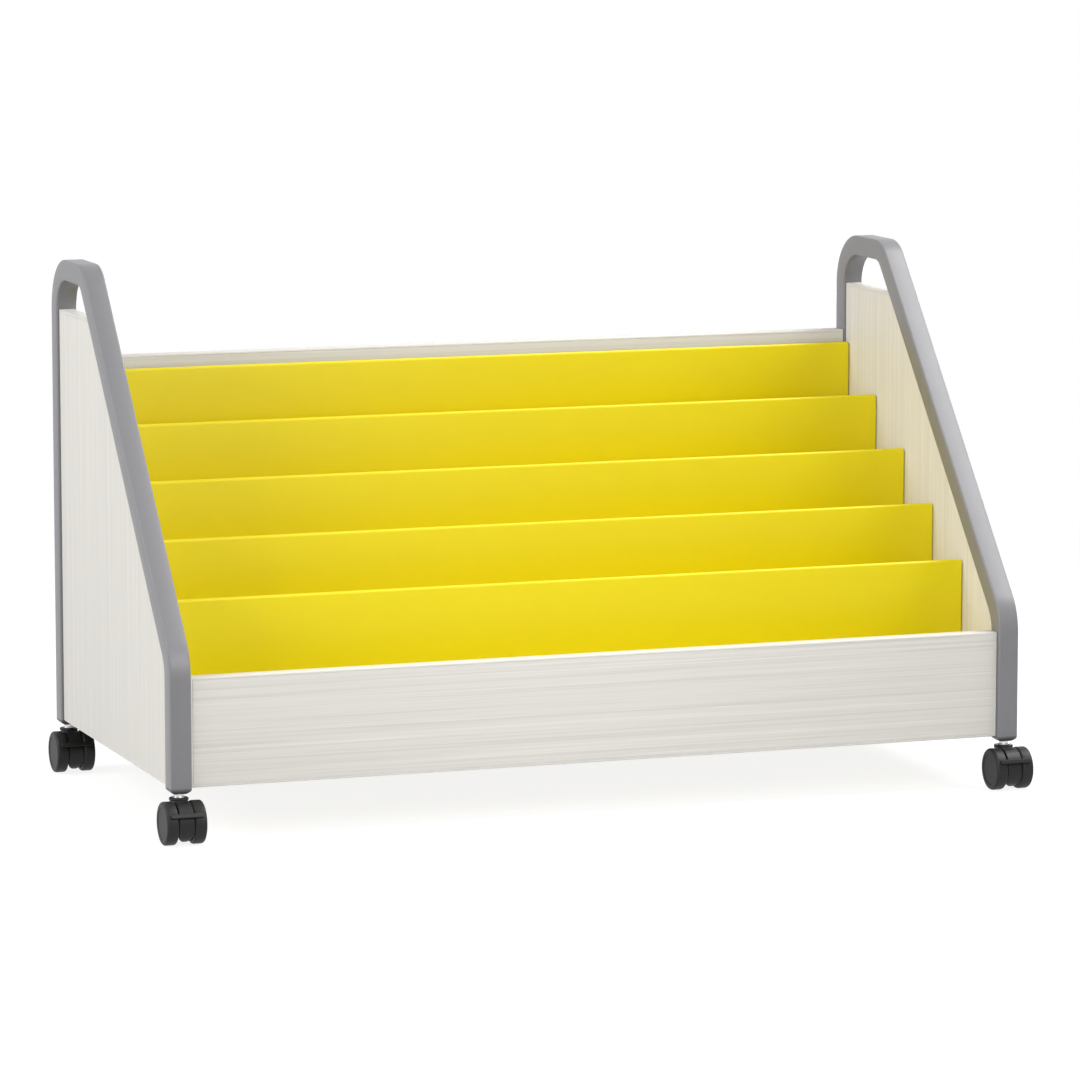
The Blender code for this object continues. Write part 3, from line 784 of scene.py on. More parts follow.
@dataclass
class EndFrame:
    """The bent-tube end frame, modelled at the left end and copied to the right."""

    corner: float = 0.0020
    corner_steps: int = 4
    wall: float = 0.0016
    handle: float = 0.1466
    knee_height: float = 0.2158
    bends: tuple[float, float, float] = (0.0664, 0.0493, 0.0650)
    bend_step: float = math.radians(2.5)

    def __post_init__(self) -> None:
        """Read the left tube's place from the frame and model the pattern."""
        self.low, self.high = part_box("left_frame_tube")
        self.tube = self.high.x - self.low.x
        self.centre_x = (self.high.x + self.low.x) / 2
        depth = self.high.y - self.low.y
        self.slope = math.atan2(self.high.z - self.knee_height, depth - self.handle)
        self.pattern = self.build_tube()

    def corners(self, inset: float) -> tuple[Vector, Vector, Vector]:
        """Corners of the outline before it is rounded, moved inwards.

        Args:
            inset: how far they move in from the tube's outside.

        Returns:
            The knee's, handle's and rear corner in (y, z).
        """
        knee_turn = math.pi / 2 - self.slope
        knee = Vector((self.low.y + inset, self.knee_height - inset * math.tan(knee_turn / 2)))
        front = self.high.y - self.handle + inset * math.tan(self.slope / 2)
        handle = Vector((front, self.high.z - inset))
        rear = Vector((self.high.y - inset, self.high.z - inset))
        return knee, handle, rear

    def build_tube(self) -> bpy.types.Object:
        """Draw a rounded square up the front post, over the handle and down the rear post.

        Returns:
            The new object.
        """
        half = self.tube / 2
        knee, handle, rear = self.corners(half)
        turns = (math.pi / 2 - self.slope, self.slope, math.pi / 2)
        radii = [bend - half for bend in self.bends]
        cuts = [radius * math.tan(turn / 2) for radius, turn in zip(radii, turns)]
        runs = (
            knee.y - cuts[0] - self.low.z,
            (handle - knee).length - cuts[0] - cuts[1],
            (rear - handle).length - cuts[1] - cuts[2],
        )
        start = Vector((self.centre_x, self.low.y + half, self.low.z))
        piece = sheet_piece("bent_tube", start, (self.tube, self.tube), (0.0, 0.0, 0.0))
        with editing(piece):
            bpy.ops.mesh.select_all(action="SELECT")
            bpy.ops.mesh.bevel(offset=self.corner, segments=self.corner_steps, affect="VERTICES")
            bpy.ops.mesh.select_all(action="SELECT")
            bpy.ops.mesh.delete(type="ONLY_FACE")
            bpy.ops.mesh.select_all(action="SELECT")
            heading = math.pi / 2
            place = Vector((start.y, start.z))
            for run, turn, radius in zip(runs, turns, radii):
                along = Vector((math.cos(heading), math.sin(heading)))
                draw_out((0.0, along.x * run, along.y * run))
                place += along * run
                hub = place + radius * Vector((along.y, -along.x))
                swing(-turn, (self.centre_x, hub.x, hub.y), math.ceil(turn / self.bend_step))
                heading -= turn
                along = Vector((math.cos(heading), math.sin(heading)))
                place = hub - radius * Vector((along.y, -along.x))
            draw_out((0.0, 0.0, self.low.z - place.y))
        close_up(piece)
        thicken_sheet(piece, self.wall)
        return piece

    def build(self, side: Side, finishes: Finishes) -> None:
        """Set a copy of the tube at one end.

        Args:
            side: which end.
            finishes: the shelf's finishes.
        """
        node = f"{side.word}_frame_tube"
        piece = copy_of(self.pattern, f"{side.word}_bent_tube", shift_to(node, self.low))
        seat(piece, "carcass", finishes.tube, (node,))


@dataclass
class EdgedBoard:
    """A laminate board with a strip glued round its edges."""

    node: str
    grain: Grain
    band: float = 0.0030
    seam: float = 0.0002
    ease: float = 0.0010
    square: float = 60.0

    def __post_init__(self) -> None:
        """Read the board's place from the frame."""
        self.low, self.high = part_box(self.node)

    def outline(self) -> bpy.types.Object:
        """The board's front or left face, flat, before it gets its thickness.

        Returns:
            The new object.
        """
        size = self.high - self.low
        centre = (self.low + self.high) / 2
        if self.grain is Grain.LEVEL:
            spot = Vector((centre.x, self.low.y, centre.z))
            return sheet_piece("board_face", spot, (size.x, size.z), (math.pi / 2, 0.0, 0.0))
        spot = Vector((self.low.x, centre.y, centre.z))
        return sheet_piece("board_face", spot, (size.y, size.z), (math.pi / 2, 0.0, math.pi / 2))

    def thicken(self, piece: bpy.types.Object) -> None:
        """Give a flat face the board's thickness.

        Args:
            piece: the face.
        """
        size = self.high - self.low
        move = (0.0, size.y, 0.0) if self.grain is Grain.LEVEL else (size.x, 0.0, 0.0)
        with editing(piece):
            bpy.ops.mesh.select_all(action="SELECT")
            draw_out(move)
            bpy.ops.mesh.select_all(action="SELECT")
            bpy.ops.mesh.normals_make_consistent(inside=False)

    def model(self) -> tuple[bpy.types.Object, bpy.types.Object]:
        """Split the outline into core and strip and thicken both.

        Returns:
            The core and the strip.
        """
        core = self.outline()
        with editing(core):
            pick(core, Pick.FACES, lambda face: True)
            bpy.ops.mesh.inset(thickness=self.band)
            bpy.ops.mesh.select_all(action="INVERT")
            bpy.ops.mesh.separate(type="SELECTED")
        strip = next(piece for piece in bpy.context.selected_objects if piece != core)
        for piece, width, steps in ((core, self.seam, 1), (strip, self.ease, 3)):
            self.thicken(piece)
            soften(piece, width, steps, self.square)
            close_up(piece)
        return core, strip

    def dress(self, node: str, core: bpy.types.Object, strip: bpy.types.Object, finishes: Finishes) -> None:
        """Name the two pieces of a board and seat them.

        Args:
            node: the frame's node that they stand for.
            core: the board without its edges.
            strip: the strip round it.
            finishes: the shelf's finishes.
        """
        for piece, word in ((core, "core"), (strip, "edge_band")):
            piece.name = f"{node}_{word}"
            piece.data.name = piece.name
        face = finishes.level if self.grain is Grain.LEVEL else finishes.upright
        seat(core, "carcass", face, (node,))
        seat(strip, "carcass", finishes.band)

    def build(self, finishes: Finishes) -> None:
        """Make the board and seat it."""
        self.dress(self.node, *self.model(), finishes)


@dataclass
class EndPanel(EdgedBoard):
    """The laminate that fills an end frame up to the finger gap, modelled once for both ends."""

    tube: Optional[EndFrame] = None
    knee_steps: int = 12

    def __post_init__(self) -> None:
        """Read the left panel's place from the frame and model the pattern."""
        super().__post_init__()
        self.pattern = self.model()

    def outline(self) -> bpy.types.Object:
        """A rectangle with its upper front corner cut along the slope and its knee rounded.

        Returns:
            The new object.
        """
        piece = super().outline()
        inset = self.low.y - self.tube.low.y
        knee = self.tube.corners(inset)[0]
        slope = self.tube.slope
        turn = math.pi / 2 - slope
        cut = (self.tube.bends[0] - inset) * math.tan(turn / 2)
        with editing(piece):
            bpy.ops.mesh.select_all(action="SELECT")
            bpy.ops.mesh.bisect(
                plane_co=(0.0, knee.x, knee.y),
                plane_no=(0.0, -math.sin(slope), math.cos(slope)),
                clear_outer=True,
            )
            pick(piece, Pick.VERTS, lambda vert: (vert.co.yz - knee).length < 10 * TOUCH)
            bpy.ops.mesh.bevel(offset=cut, segments=self.knee_steps, affect="VERTICES")
        return piece

    def put(self, side: Side, finishes: Finishes) -> None:
        """Set a copy of the panel in one end frame.

        Args:
            side: which end.
            finishes: the shelf's finishes.
        """
        node = f"{side.word}_end_panel"
        move = shift_to(node, self.low)
        core, strip = (copy_of(piece, "end_panel_copy", move) for piece in self.pattern)
        self.dress(node, core, strip, finishes)


@dataclass
class Tray:
    """A folded sheet, modelled once: plate with rolled top and ends, floor, front lip and tabs."""

    sheet: float = 0.0012
    lip: float = 0.0150
    roll: float = 0.0030
    roll_steps: int = 6
    corner: float = 0.0045
    corner_steps: int = 5
    fold: float = 0.0025
    fold_steps: int = 5
    hem: float = 0.0080
    tab_height: float = 0.0800
    tab_drop: float = 0.0135
    tab_depth: float = 0.0130
    screw_rise: float = 0.0200

    def __post_init__(self) -> None:
        """Read the first tray's place from the frame and model the pattern."""
        self.low, self.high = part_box("tray_1")
        self.plate = self.high.y - self.tab_depth
        self.pattern = self.build_sheet()

    def build_sheet(self) -> bpy.types.Object:
        """Fold the tray from its plate.

        Returns:
            The new object.
        """
        half = self.high.x
        top = self.high.z
        floor = self.low.z + self.sheet
        front = self.low.y + self.sheet
        rear = self.plate + 2 * self.roll
        centre = Vector((0.0, self.plate, (top + floor) / 2))
        piece = sheet_piece("tray_sheet", centre, (2 * half, top - floor), (math.pi / 2, 0.0, 0.0))
        with editing(piece):
            pick(piece, Pick.EDGES, lambda edge: middle(edge).z > floor + TOUCH)
            draw_out((0.0, 2 * self.roll, 0.0))
            pick(piece, Pick.EDGES, lambda edge: abs(middle(edge).y - (self.plate + rear) / 2) < TOUCH
                 and middle(edge).z > top - TOUCH)
            bpy.ops.mesh.bevel(offset=self.corner, segments=self.corner_steps, affect="EDGES")
            pick(piece, Pick.EDGES, lambda edge: at(1, rear)(edge) and at(2, top)(edge))
            draw_out((0.0, 0.0, -self.hem - self.roll))
            pick(piece, Pick.EDGES, lambda edge: at(1, self.plate)(edge) and at(2, floor)(edge))
            draw_out((0.0, front - self.plate, 0.0))
            draw_out((0.0, 0.0, self.lip))
            self.roll_edges(piece, floor, front, rear)
            self.add_tabs(piece, rear)
        close_up(piece)
        self.face_forward(piece)
        thicken_sheet(piece, self.sheet)
        return piece

    def roll_edges(self, piece: bpy.types.Object, floor: float, front: float, rear: float) -> None:
        """Round the plate's rim, the rear of its rolled top and the two floor folds.

        Args:
            piece: the sheet in edit mode.
            floor: the height of the tray's floor.
            front: the lip's place on Y.
            rear: the place on Y of the rolled edges' rear.
        """
        top = self.high.z
        pick(piece, Pick.EDGES, lambda edge: at(1, self.plate)(edge) and len(edge.link_faces) == 2
             and middle(edge).z > floor + TOUCH)
        bpy.ops.mesh.bevel(offset=self.roll, segments=self.roll_steps, affect="EDGES")
        pick(piece, Pick.EDGES, lambda edge: at(1, rear)(edge) and at(2, top)(edge)
             and len(edge.link_faces) == 2)
        bpy.ops.mesh.bevel(offset=self.roll - TOUCH, segments=self.roll_steps, affect="EDGES")
        pick(piece, Pick.EDGES, lambda edge: at(2, floor)(edge) and len(edge.link_faces) == 2
             and (at(1, front)(edge) or at(1, self.plate)(edge)))
        bpy.ops.mesh.bevel(offset=self.fold, segments=self.fold_steps, affect="EDGES")

    def add_tabs(self, piece: bpy.types.Object, rear: float) -> None:
        """Lengthen the rolled ends into the tabs that are screwed to the end panels.

        Args:
            piece: the sheet in edit mode.
            rear: the place on Y of the rolled edges' rear.
        """
        upper = self.high.z - self.tab_drop
        lower = upper - self.tab_height
        for height in (lower, upper):
            bpy.ops.mesh.select_all(action="SELECT")
            bpy.ops.mesh.bisect(plane_co=(0.0, 0.0, height), plane_no=(0.0, 0.0, 1.0))
        pick(piece, Pick.EDGES, lambda edge: at(1, rear)(edge) and abs(middle(edge).x) > self.high.x - TOUCH
             and lower < middle(edge).z < upper)
        draw_out((0.0, self.tab_depth - 2 * self.roll, 0.0))

    def face_forward(self, piece: bpy.types.Object) -> None:
        """Turn the sheet's outside to the front and up.

        Args:
            piece: the sheet.
        """
        largest = max(piece.data.polygons, key=lambda face: face.area)
        if largest.normal.dot(Vector((0.0, -1.0, 1.0))) < 0:
            with editing(piece):
                bpy.ops.mesh.select_all(action="SELECT")
                bpy.ops.mesh.flip_normals()

    def build(self, number: int, finishes: Finishes, screw: "Screw") -> None:
        """Set a copy of the tray at its step, with its tab screws.

        Args:
            number: the tray's number from the front.
            finishes: the shelf's finishes.
            screw: the screw's pattern.
        """
        node = f"tray_{number}"
        move = shift_to(node, self.low)
        piece = copy_of(self.pattern, f"{node}_sheet", move)
        seat(piece, "carcass", finishes.tray, (node,))
        upper = self.high.z - self.tab_drop
        spots = (upper - self.screw_rise, upper - self.tab_height + self.screw_rise)
        y = self.plate + (2 * self.roll + self.tab_depth) / 2
        for side in Side:
            inner = side.value * (self.high.x - self.sheet)
            for order, z in enumerate(spots, 1):
                name = f"{node}_screw_{side.word}_{order}"
                facing = Vector((-side.value, 0.0, 0.0))
                screw.put(name, move @ Vector((inner, y, z)), facing, finishes)


@dataclass
class Screw:
    """A pan-head screw with a cross recess; only the head shows."""

    radius: float = 0.0032
    height: float = 0.0018
    slot_length: float = 0.0036
    slot_width: float = 0.0008
    slot_depth: float = 0.0011
    crown: float = 0.7
    crown_steps: int = 4
    sides: int = 28

    def __post_init__(self) -> None:
        """Model the head once, standing on the origin along +Z."""
        head = round_bar("screw_head", self.radius, 0.0, self.height, self.sides)
        with editing(head):
            pick(head, Pick.EDGES, at(2, self.height))
            bpy.ops.mesh.bevel(offset=self.height * self.crown, segments=self.crown_steps, affect="EDGES")
        reach = Vector((self.slot_length / 2, self.slot_width / 2, 0.0))
        floor = self.height - self.slot_depth
        for arm in (reach, reach.yxz):
            low = Vector((-arm.x, -arm.y, floor))
            high = Vector((arm.x, arm.y, self.height * 2))
            combine(head, block("screw_slot", low, high), Fit.CUT)
        close_up(head)
        self.head = head

    def put(self, name: str, place: Vector, facing: Vector, finishes: Finishes) -> None:
        """Set a copy of the head on a surface.

        Args:
            name: the copy's name.
            place: the middle of the head's seat.
            facing: the direction that the head points in.
            finishes: the shelf's finishes.
        """
        turn = facing.to_track_quat("Z", "Y").to_matrix().to_4x4()
        piece = copy_of(self.head, name, Matrix.Translation(place) @ turn)
        seat(piece, "carcass", finishes.screw)


@dataclass
class CornerBracket:
    """An angle bracket between a board and an end panel, modelled once for all corners."""

    sheet: float = 0.0020
    fold: float = 0.0025
    corner: float = 0.0040
    steps: int = 4
    screw_reach: float = 0.6

    def __post_init__(self) -> None:
        """Read the front left bracket's size from the frame and model the pattern."""
        low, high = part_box("corner_bracket_front_left")
        self.leg = high.x - low.x
        self.height = high.z - low.z
        self.pattern = self.build_angle()

    def build_angle(self) -> bpy.types.Object:
        """Fold the bracket along +X and +Y from the origin and round its free corners.

        Returns:
            The new object.
        """
        centre = Vector((self.leg / 2, 0.0, 0.0))
        piece = sheet_piece("corner_angle", centre, (self.leg, self.height), (math.pi / 2, 0.0, 0.0))
        with editing(piece):
            pick(piece, Pick.EDGES, at(0, 0.0))
            draw_out((0.0, self.leg, 0.0))
            pick(piece, Pick.EDGES, lambda edge: at(0, 0.0)(edge) and at(1, 0.0)(edge))
            bpy.ops.mesh.bevel(offset=self.fold, segments=self.steps, affect="EDGES")
            pick(piece, Pick.VERTS, lambda vert: max(vert.co.x, vert.co.y) > self.leg - TOUCH)
            bpy.ops.mesh.bevel(offset=self.corner, segments=self.steps, affect="VERTICES")
        close_up(piece)
        flat = max(piece.data.polygons, key=lambda face: abs(face.normal.y))
        thicken_sheet(piece, self.sheet, -1.0 if flat.normal.y < 0 else 1.0)
        return piece

    def build(self, side: Side, end: End, finishes: Finishes, screw: Screw) -> None:
        """Set a copy of the bracket in one corner, with its two screws.

        Args:
            side: which end of the shelf.
            end: which row of posts.
            finishes: the shelf's finishes.
            screw: the screw's pattern.
        """
        node = f"corner_bracket_{end.word}_{side.word}"
        low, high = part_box(node)
        inward = -side.value
        away = -end.value
        corner = Vector((
            high.x if side is Side.RIGHT else low.x,
            low.y if end is End.FRONT else high.y,
            (low.z + high.z) / 2,
        ))
        turn = Matrix.Rotation(math.atan2(away, inward) - math.pi / 4, 4, "Z")
        piece = copy_of(self.pattern, f"{node}_angle", Matrix.Translation(corner) @ turn)
        seat(piece, "carcass", finishes.bracket, (node,))
        reach = self.leg * self.screw_reach
        for order, (offset, facing) in enumerate((
            ((inward * reach, away * self.sheet, 0.0), (0.0, away, 0.0)),
            ((inward * self.sheet, away * reach, 0.0), (inward, 0.0, 0.0)),
        ), 1):
            screw.put(f"{node}_screw_{order}", corner + Vector(offset), Vector(facing), finishes)


@dataclass
class PostEnd:
    """The cap in a post's lower end and the caster stem that it holds, each modelled once."""

    rim: float = 0.0008
    dome: float = 0.0054
    foot: float = 0.0145
    curve: float = 1.8
    corner: float = 0.0020
    corner_steps: int = 6
    rings: int = 8
    bore: float = 0.0058
    shank: float = 0.0055
    pivot: float = 0.0040
    pivot_length: float = 0.0133
    flange: float = 0.0072
    flange_height: float = 0.0013
    insert_gap: float = 0.0003
    cap_ease: float = 0.0004
    stem_ease: float = 0.0003
    edge_angle: float = 50.0
    sides: int = 48

    def __post_init__(self) -> None:
        """Read sizes of the left front post end from the frame and model the two patterns."""
        low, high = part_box("post_cap_front_left")
        tube_low, tube_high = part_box("left_frame_tube")
        self.width = tube_high.x - tube_low.x
        self.top = low.z + self.dome + self.rim
        self.insert_top = high.z
        stem_low, stem_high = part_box("caster_stem_front_left")
        self.stem_low = stem_low.z
        self.stem_top = stem_high.z
        self.insert = self.width - 2 * EndFrame.wall - 2 * self.insert_gap
        self.cap = self.build_cap()
        self.stem = self.build_stem()

    def build_cap(self) -> bpy.types.Object:
        """A rounded square drawn down into a dome, with a square insert above and a bore.

        Returns:
            The new object.
        """
        place = Vector((0.0, 0.0, self.top))
        piece = sheet_piece("post_cap", place, (self.width, self.width), (0.0, 0.0, 0.0))
        with editing(piece):
            bpy.ops.mesh.select_all(action="SELECT")
            bpy.ops.mesh.bevel(offset=self.corner, segments=self.corner_steps, affect="VERTICES")
            bpy.ops.mesh.select_all(action="SELECT")
            draw_out((0.0, 0.0, -self.rim))
            width = self.width
            for ring in range(1, self.rings + 1):
                wanted = self.width - (self.width - self.foot) * (ring / self.rings) ** self.curve
                draw_out((0.0, 0.0, -self.dome / self.rings))
                bpy.ops.transform.resize(value=(wanted / width, wanted / width, 1.0))
                width = wanted
            pick(piece, Pick.FACES, at(2, self.top))
            share = self.insert / self.width
            bpy.ops.mesh.inset(thickness=(1.0 - share) * self.width / 2)
            draw_out((0.0, 0.0, self.insert_top - self.top))
        close_up(piece)
        bore = round_bar("cap_bore", self.bore, self.top - THROUGH, self.insert_top + THROUGH, self.sides)
        combine(piece, bore, Fit.CUT)
        soften(piece, self.cap_ease, 2, self.edge_angle)
        close_up(piece)
        return piece

    def build_stem(self) -> bpy.types.Object:
        """A flange drawn up into the shank and down into the pivot.

        Returns:
            The new object.
        """
        flange_low = self.stem_low + self.pivot_length
        flange_top = flange_low + self.flange_height
        piece = round_bar("caster_stem", self.flange, flange_low, flange_top, self.sides)
        with editing(piece):
            pick(piece, Pick.FACES, at(2, flange_top))
            bpy.ops.mesh.inset(thickness=self.flange - self.shank)
            draw_out((0.0, 0.0, self.stem_top - flange_top))
            pick(piece, Pick.FACES, at(2, flange_low))
            bpy.ops.mesh.inset(thickness=self.flange - self.pivot)
            draw_out((0.0, 0.0, self.stem_low - flange_low))
        close_up(piece)
        soften(piece, self.stem_ease, 2, self.edge_angle)
        close_up(piece)
        return piece

    def build(self, side: Side, end: End, finishes: Finishes) -> None:
        """Set copies of the cap and stem at one post.

        Args:
            side: which end of the shelf.
            end: which row of posts.
            finishes: the shelf's finishes.
        """
        where = f"{end.word}_{side.word}"
        low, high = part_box(f"post_cap_{where}")
        move = Matrix.Translation(((low.x + high.x) / 2, (low.y + high.y) / 2, 0.0))
        cap = copy_of(self.cap, f"post_end_{where}", move)
        seat(cap, "carcass", finishes.cap, (f"post_cap_{where}",))
        stem = copy_of(self.stem, f"turned_stem_{where}", move)
        seat(stem, "carcass", finishes.steel, (f"caster_stem_{where}",))


@dataclass
class Caster:
    """A twin-wheel caster, modelled once: body with collar, wheel and a brake pedal over the axle."""

    radius: float = 0.0254
    wheel_width: float = 0.0145
    wheel_gap: float = 0.0007
    body_width: float = 0.0176
    shield_inset: float = 0.0025
    shield_skin: float = 0.0030
    shield_low: float = math.radians(66)
    shield_high: float = math.radians(97)
    shield_foot: float = 0.0042
    shield_tip: float = 0.0123
    shield_ease: float = 0.0004
    boss: float = 0.0085
    boss_ease: float = 0.0005
    neck_ease: float = 0.0015
    trail: float = 0.0127
    collar_radius: float = 0.0115
    collar_base: float = 0.0500
    collar_height: float = 0.0027
    collar_ease: float = 0.0007
    running: float = 0.0003
    axle_radius: float = 0.0030
    axle_hold: float = 0.0085
    hub: float = 0.0065
    rim: float = 0.0040
    recess: float = 0.0060
    rim_round: float = 0.0030
    rim_steps: int = 7
    inner_round: float = 0.0028
    inner_steps: int = 3
    dish_radius: float = 0.0185
    dish: float = 0.0006
    pivot_bore: float = 0.0043
    pivot_depth: float = 0.0133
    pedal_width: float = 0.0170
    pedal_skin: float = 0.0022
    pedal_low: float = math.radians(21)
    pedal_high: float = math.radians(84)
    pedal_travel: float = math.radians(12)
    toe_width: float = 0.0395
    toe_reach: float = 0.0038
    toe_clearance: float = 0.0009
    toe_angle: float = math.radians(10.5)
    toe_ease: float = 0.0007
    strip_start: float = 0.02
    link_start: float = 0.03
    link_share: float = 0.6
    arm_width: float = 0.0050
    arm_depth: float = 0.0070
    arm_angle: float = math.radians(52)
    ring: float = 0.0055
    sides: int = 72
    bore_sides: int = 48
    slot_sides: int = 32
    sweep_step: float = 2.5
    least_steps: int = 4

    def __post_init__(self) -> None:
        """Model the patterns with the stem's axis on the origin."""
        self.axle = Vector((0.0, -self.trail, self.radius))
        self.lying = Matrix.Translation(self.axle) @ Matrix.Rotation(math.pi / 2, 4, "Y")
        self.wheel = self.build_wheel()
        self.body = self.build_body()
        self.pedal = self.build_pedal()

    def build_wheel(self) -> bpy.types.Object:
        """A wheel along +X from the origin: round rim, dished outer face and hollow inner side.

        Returns:
            The new object.
        """
        piece = round_bar("caster_wheel", self.radius, 0.0, self.wheel_width, self.sides)
        with editing(piece):
            pick(piece, Pick.EDGES, at(2, self.wheel_width))
            bpy.ops.mesh.bevel(offset=self.rim_round, segments=self.rim_steps, affect="EDGES")
            pick(piece, Pick.EDGES, at(2, 0.0))
            bpy.ops.mesh.bevel(offset=self.inner_round, segments=self.inner_steps, affect="EDGES")
            pick(piece, Pick.FACES, at(2, self.wheel_width))
            bpy.ops.mesh.inset(thickness=self.radius - self.rim_round - self.dish_radius - self.dish)
            bpy.ops.mesh.inset(thickness=self.dish, depth=-self.dish)
            pick(piece, Pick.FACES, at(2, 0.0))
            bpy.ops.mesh.inset(thickness=self.rim - self.inner_round)
            draw_out((0.0, 0.0, self.recess))
            bpy.ops.mesh.inset(thickness=self.radius - self.rim - self.hub)
            draw_out((0.0, 0.0, -self.recess))
            bpy.ops.mesh.inset(thickness=self.hub - self.axle_radius - self.running)
            draw_out((0.0, 0.0, self.axle_hold + self.running))
        close_up(piece)
        piece.data.transform(Matrix.Rotation(math.pi / 2, 4, "Y"))
        return piece

    def lie(self, piece: bpy.types.Object) -> bpy.types.Object:
        """Lay a piece along the axle.

        Args:
            piece: a piece that was turned about Z.

        Returns:
            The same piece.
        """
        piece.data.transform(self.lying)
        return piece

    def around(self, radius: float, angle: float) -> Vector:
        """A point in the middle plane, at an angle up from the front of the axle."""
        return self.axle + radius * Vector((0.0, -math.cos(angle), math.sin(angle)))

    def tongue(self) -> bpy.types.Object:
        """The outline that the shield is cut to from the front: straight sides over an oval end.

        Returns:
            The new object.
        """
        half = self.body_width / 2 + self.running
        level = self.shield_foot + self.shield_tip
        reach = 2 * self.radius
        piece = round_bar("shield_tip", half, -reach, reach, self.sides)
        oval = Matrix.Diagonal((1.0, self.shield_tip / half, 1.0, 1.0))
        lay = Matrix.Translation((0.0, 0.0, level)) @ Matrix.Rotation(math.pi / 2, 4, "X")
        piece.data.transform(lay @ oval)
        low = Vector((-half, -reach, level - self.running))
        combine(piece, block("shield_sides", low, Vector((half, reach, 2 * reach))), Fit.JOIN)
        return piece

    def build_body(self) -> bpy.types.Object:
        """A shield in front of the axle's boss, a neck up to the collar, and room for the pedal.

        Returns:
            The new object.
        """
        half = self.body_width / 2
        outer = self.radius - self.shield_inset
        body = self.swept("caster_body", outer - self.shield_skin, outer, self.body_width,
                          -self.shield_low, self.shield_high)
        combine(body, self.tongue(), Fit.TRIM)
        soften(body, self.shield_ease, 2)
        boss = self.lie(round_bar("caster_boss", self.boss, -half, half, self.bore_sides))
        soften(boss, self.boss_ease, 2)
        combine(body, boss, Fit.JOIN)
        side = half - self.running
        foot = self.radius + self.hub
        neck = block("caster_neck", Vector((-side, self.axle.y, foot)),
                     Vector((side, self.collar_radius, 2 * self.radius)))
        with editing(neck):
            pick(neck, Pick.EDGES, lambda edge: at(1, self.collar_radius)(edge) and at(2, foot)(edge))
            bpy.ops.transform.translate(value=(0.0, -self.hub, 0.0))
        soften(neck, self.neck_ease)
        combine(body, neck, Fit.JOIN)
        collar_top = self.collar_base + self.collar_height
        collar = round_bar("caster_collar", self.collar_radius, self.collar_base, collar_top, self.sides)
        soften(collar, self.collar_ease)
        combine(body, collar, Fit.JOIN)
        bore_end = collar_top - self.pivot_depth
        bore = round_bar("pivot_bore", self.pivot_bore, bore_end, THROUGH, self.bore_sides)
        combine(body, bore, Fit.CUT)
        combine(body, self.arm_slot(), Fit.CUT)
        combine(body, self.axle_bore(), Fit.CUT)
        close_up(body)
        return body

    def axle_bore(self) -> bpy.types.Object:
        """The bar that cuts the axle's hole through body or pedal."""
        hole = self.axle_radius + self.running
        return self.lie(round_bar("axle_bore", hole, -THROUGH, THROUGH, self.bore_sides))

    def arm_slot(self) -> bpy.types.Object:
        """The room that the pedal's arm and ring swing in.

        Returns:
            The new object.
        """
        half = self.arm_width / 2 + self.running
        room = self.ring + 2 * self.running
        slot = self.lie(round_bar("arm_slot", room, -half, half, self.slot_sides))
        low = self.arm_angle - self.pedal_travel
        reach = self.radius - self.pedal_skin + self.running
        side = half - self.running / 3
        deep = self.arm_depth / 2 + 2 * self.running
        start = block("arm_room", Vector((-side, -reach, -deep)), Vector((side, 0.0, deep)))
        for angle in (low, self.arm_angle):
            turn = Matrix.Translation(self.axle) @ Matrix.Rotation(-angle, 4, "X")
            combine(slot, copy_of(start, "arm_room_turned", turn), Fit.JOIN)
        discard(start)
        return slot

    def swept(self, name: str, inner: float, outer: float, width: float, start: float,
              end: float) -> bpy.types.Object:
        """A strip that follows a circle about the axle.

        Args:
            name: the piece's name.
            inner: its inner radius.
            outer: its outer radius.
            width: its size along X.
            start: the angle up from the front where it starts.
            end: the angle where it ends.

        Returns:
            The new object.
        """
        centre = self.around((inner + outer) / 2, start)
        steps = max(self.least_steps, round(math.degrees(abs(end - start)) / self.sweep_step))
        piece = sheet_piece(name, centre, (width, outer - inner), (math.pi - start, 0.0, 0.0))
        with editing(piece):
            bpy.ops.mesh.select_all(action="SELECT")
            swing(start - end, tuple(self.axle), steps)
        close_up(piece)
        return piece

    def build_pedal(self) -> bpy.types.Object:
        """The curved neck, its wide toe, and the arm down to a ring on the axle.

        Returns:
            The new object.
        """
        toe_top = self.pedal_low + self.toe_angle
        inner = self.radius - self.pedal_skin
        neck = self.swept("brake_pedal", inner, self.radius, self.pedal_width,
                          self.pedal_low + self.strip_start, self.pedal_high)
        link = self.swept("pedal_link", inner + self.running, self.radius + self.toe_reach * self.link_share,
                          self.pedal_width - 2 * self.running, self.pedal_low + self.link_start,
                          toe_top - self.strip_start)
        combine(neck, link, Fit.JOIN)
        toe = self.swept("pedal_toe", self.radius + self.toe_clearance, self.radius + self.toe_reach,
                         self.toe_width, self.pedal_low, toe_top)
        soften(toe, self.toe_ease)
        combine(neck, toe, Fit.JOIN)
        half = self.arm_width / 2
        bore = self.axle_radius + self.running
        ring = self.lie(round_bar("pedal_ring", self.ring, -half, half, self.bore_sides))
        combine(ring, self.axle_bore(), Fit.CUT)
        side = half - self.running / 3
        arm = block("pedal_arm", Vector((-side, -inner - self.pedal_skin / 2, -self.arm_depth / 2)),
                    Vector((side, -bore - self.running, self.arm_depth / 2)))
        arm.data.transform(Matrix.Translation(self.axle) @ Matrix.Rotation(-self.arm_angle, 4, "X"))
        combine(neck, arm, Fit.JOIN)
        combine(neck, ring, Fit.JOIN)
        close_up(neck)
        return neck

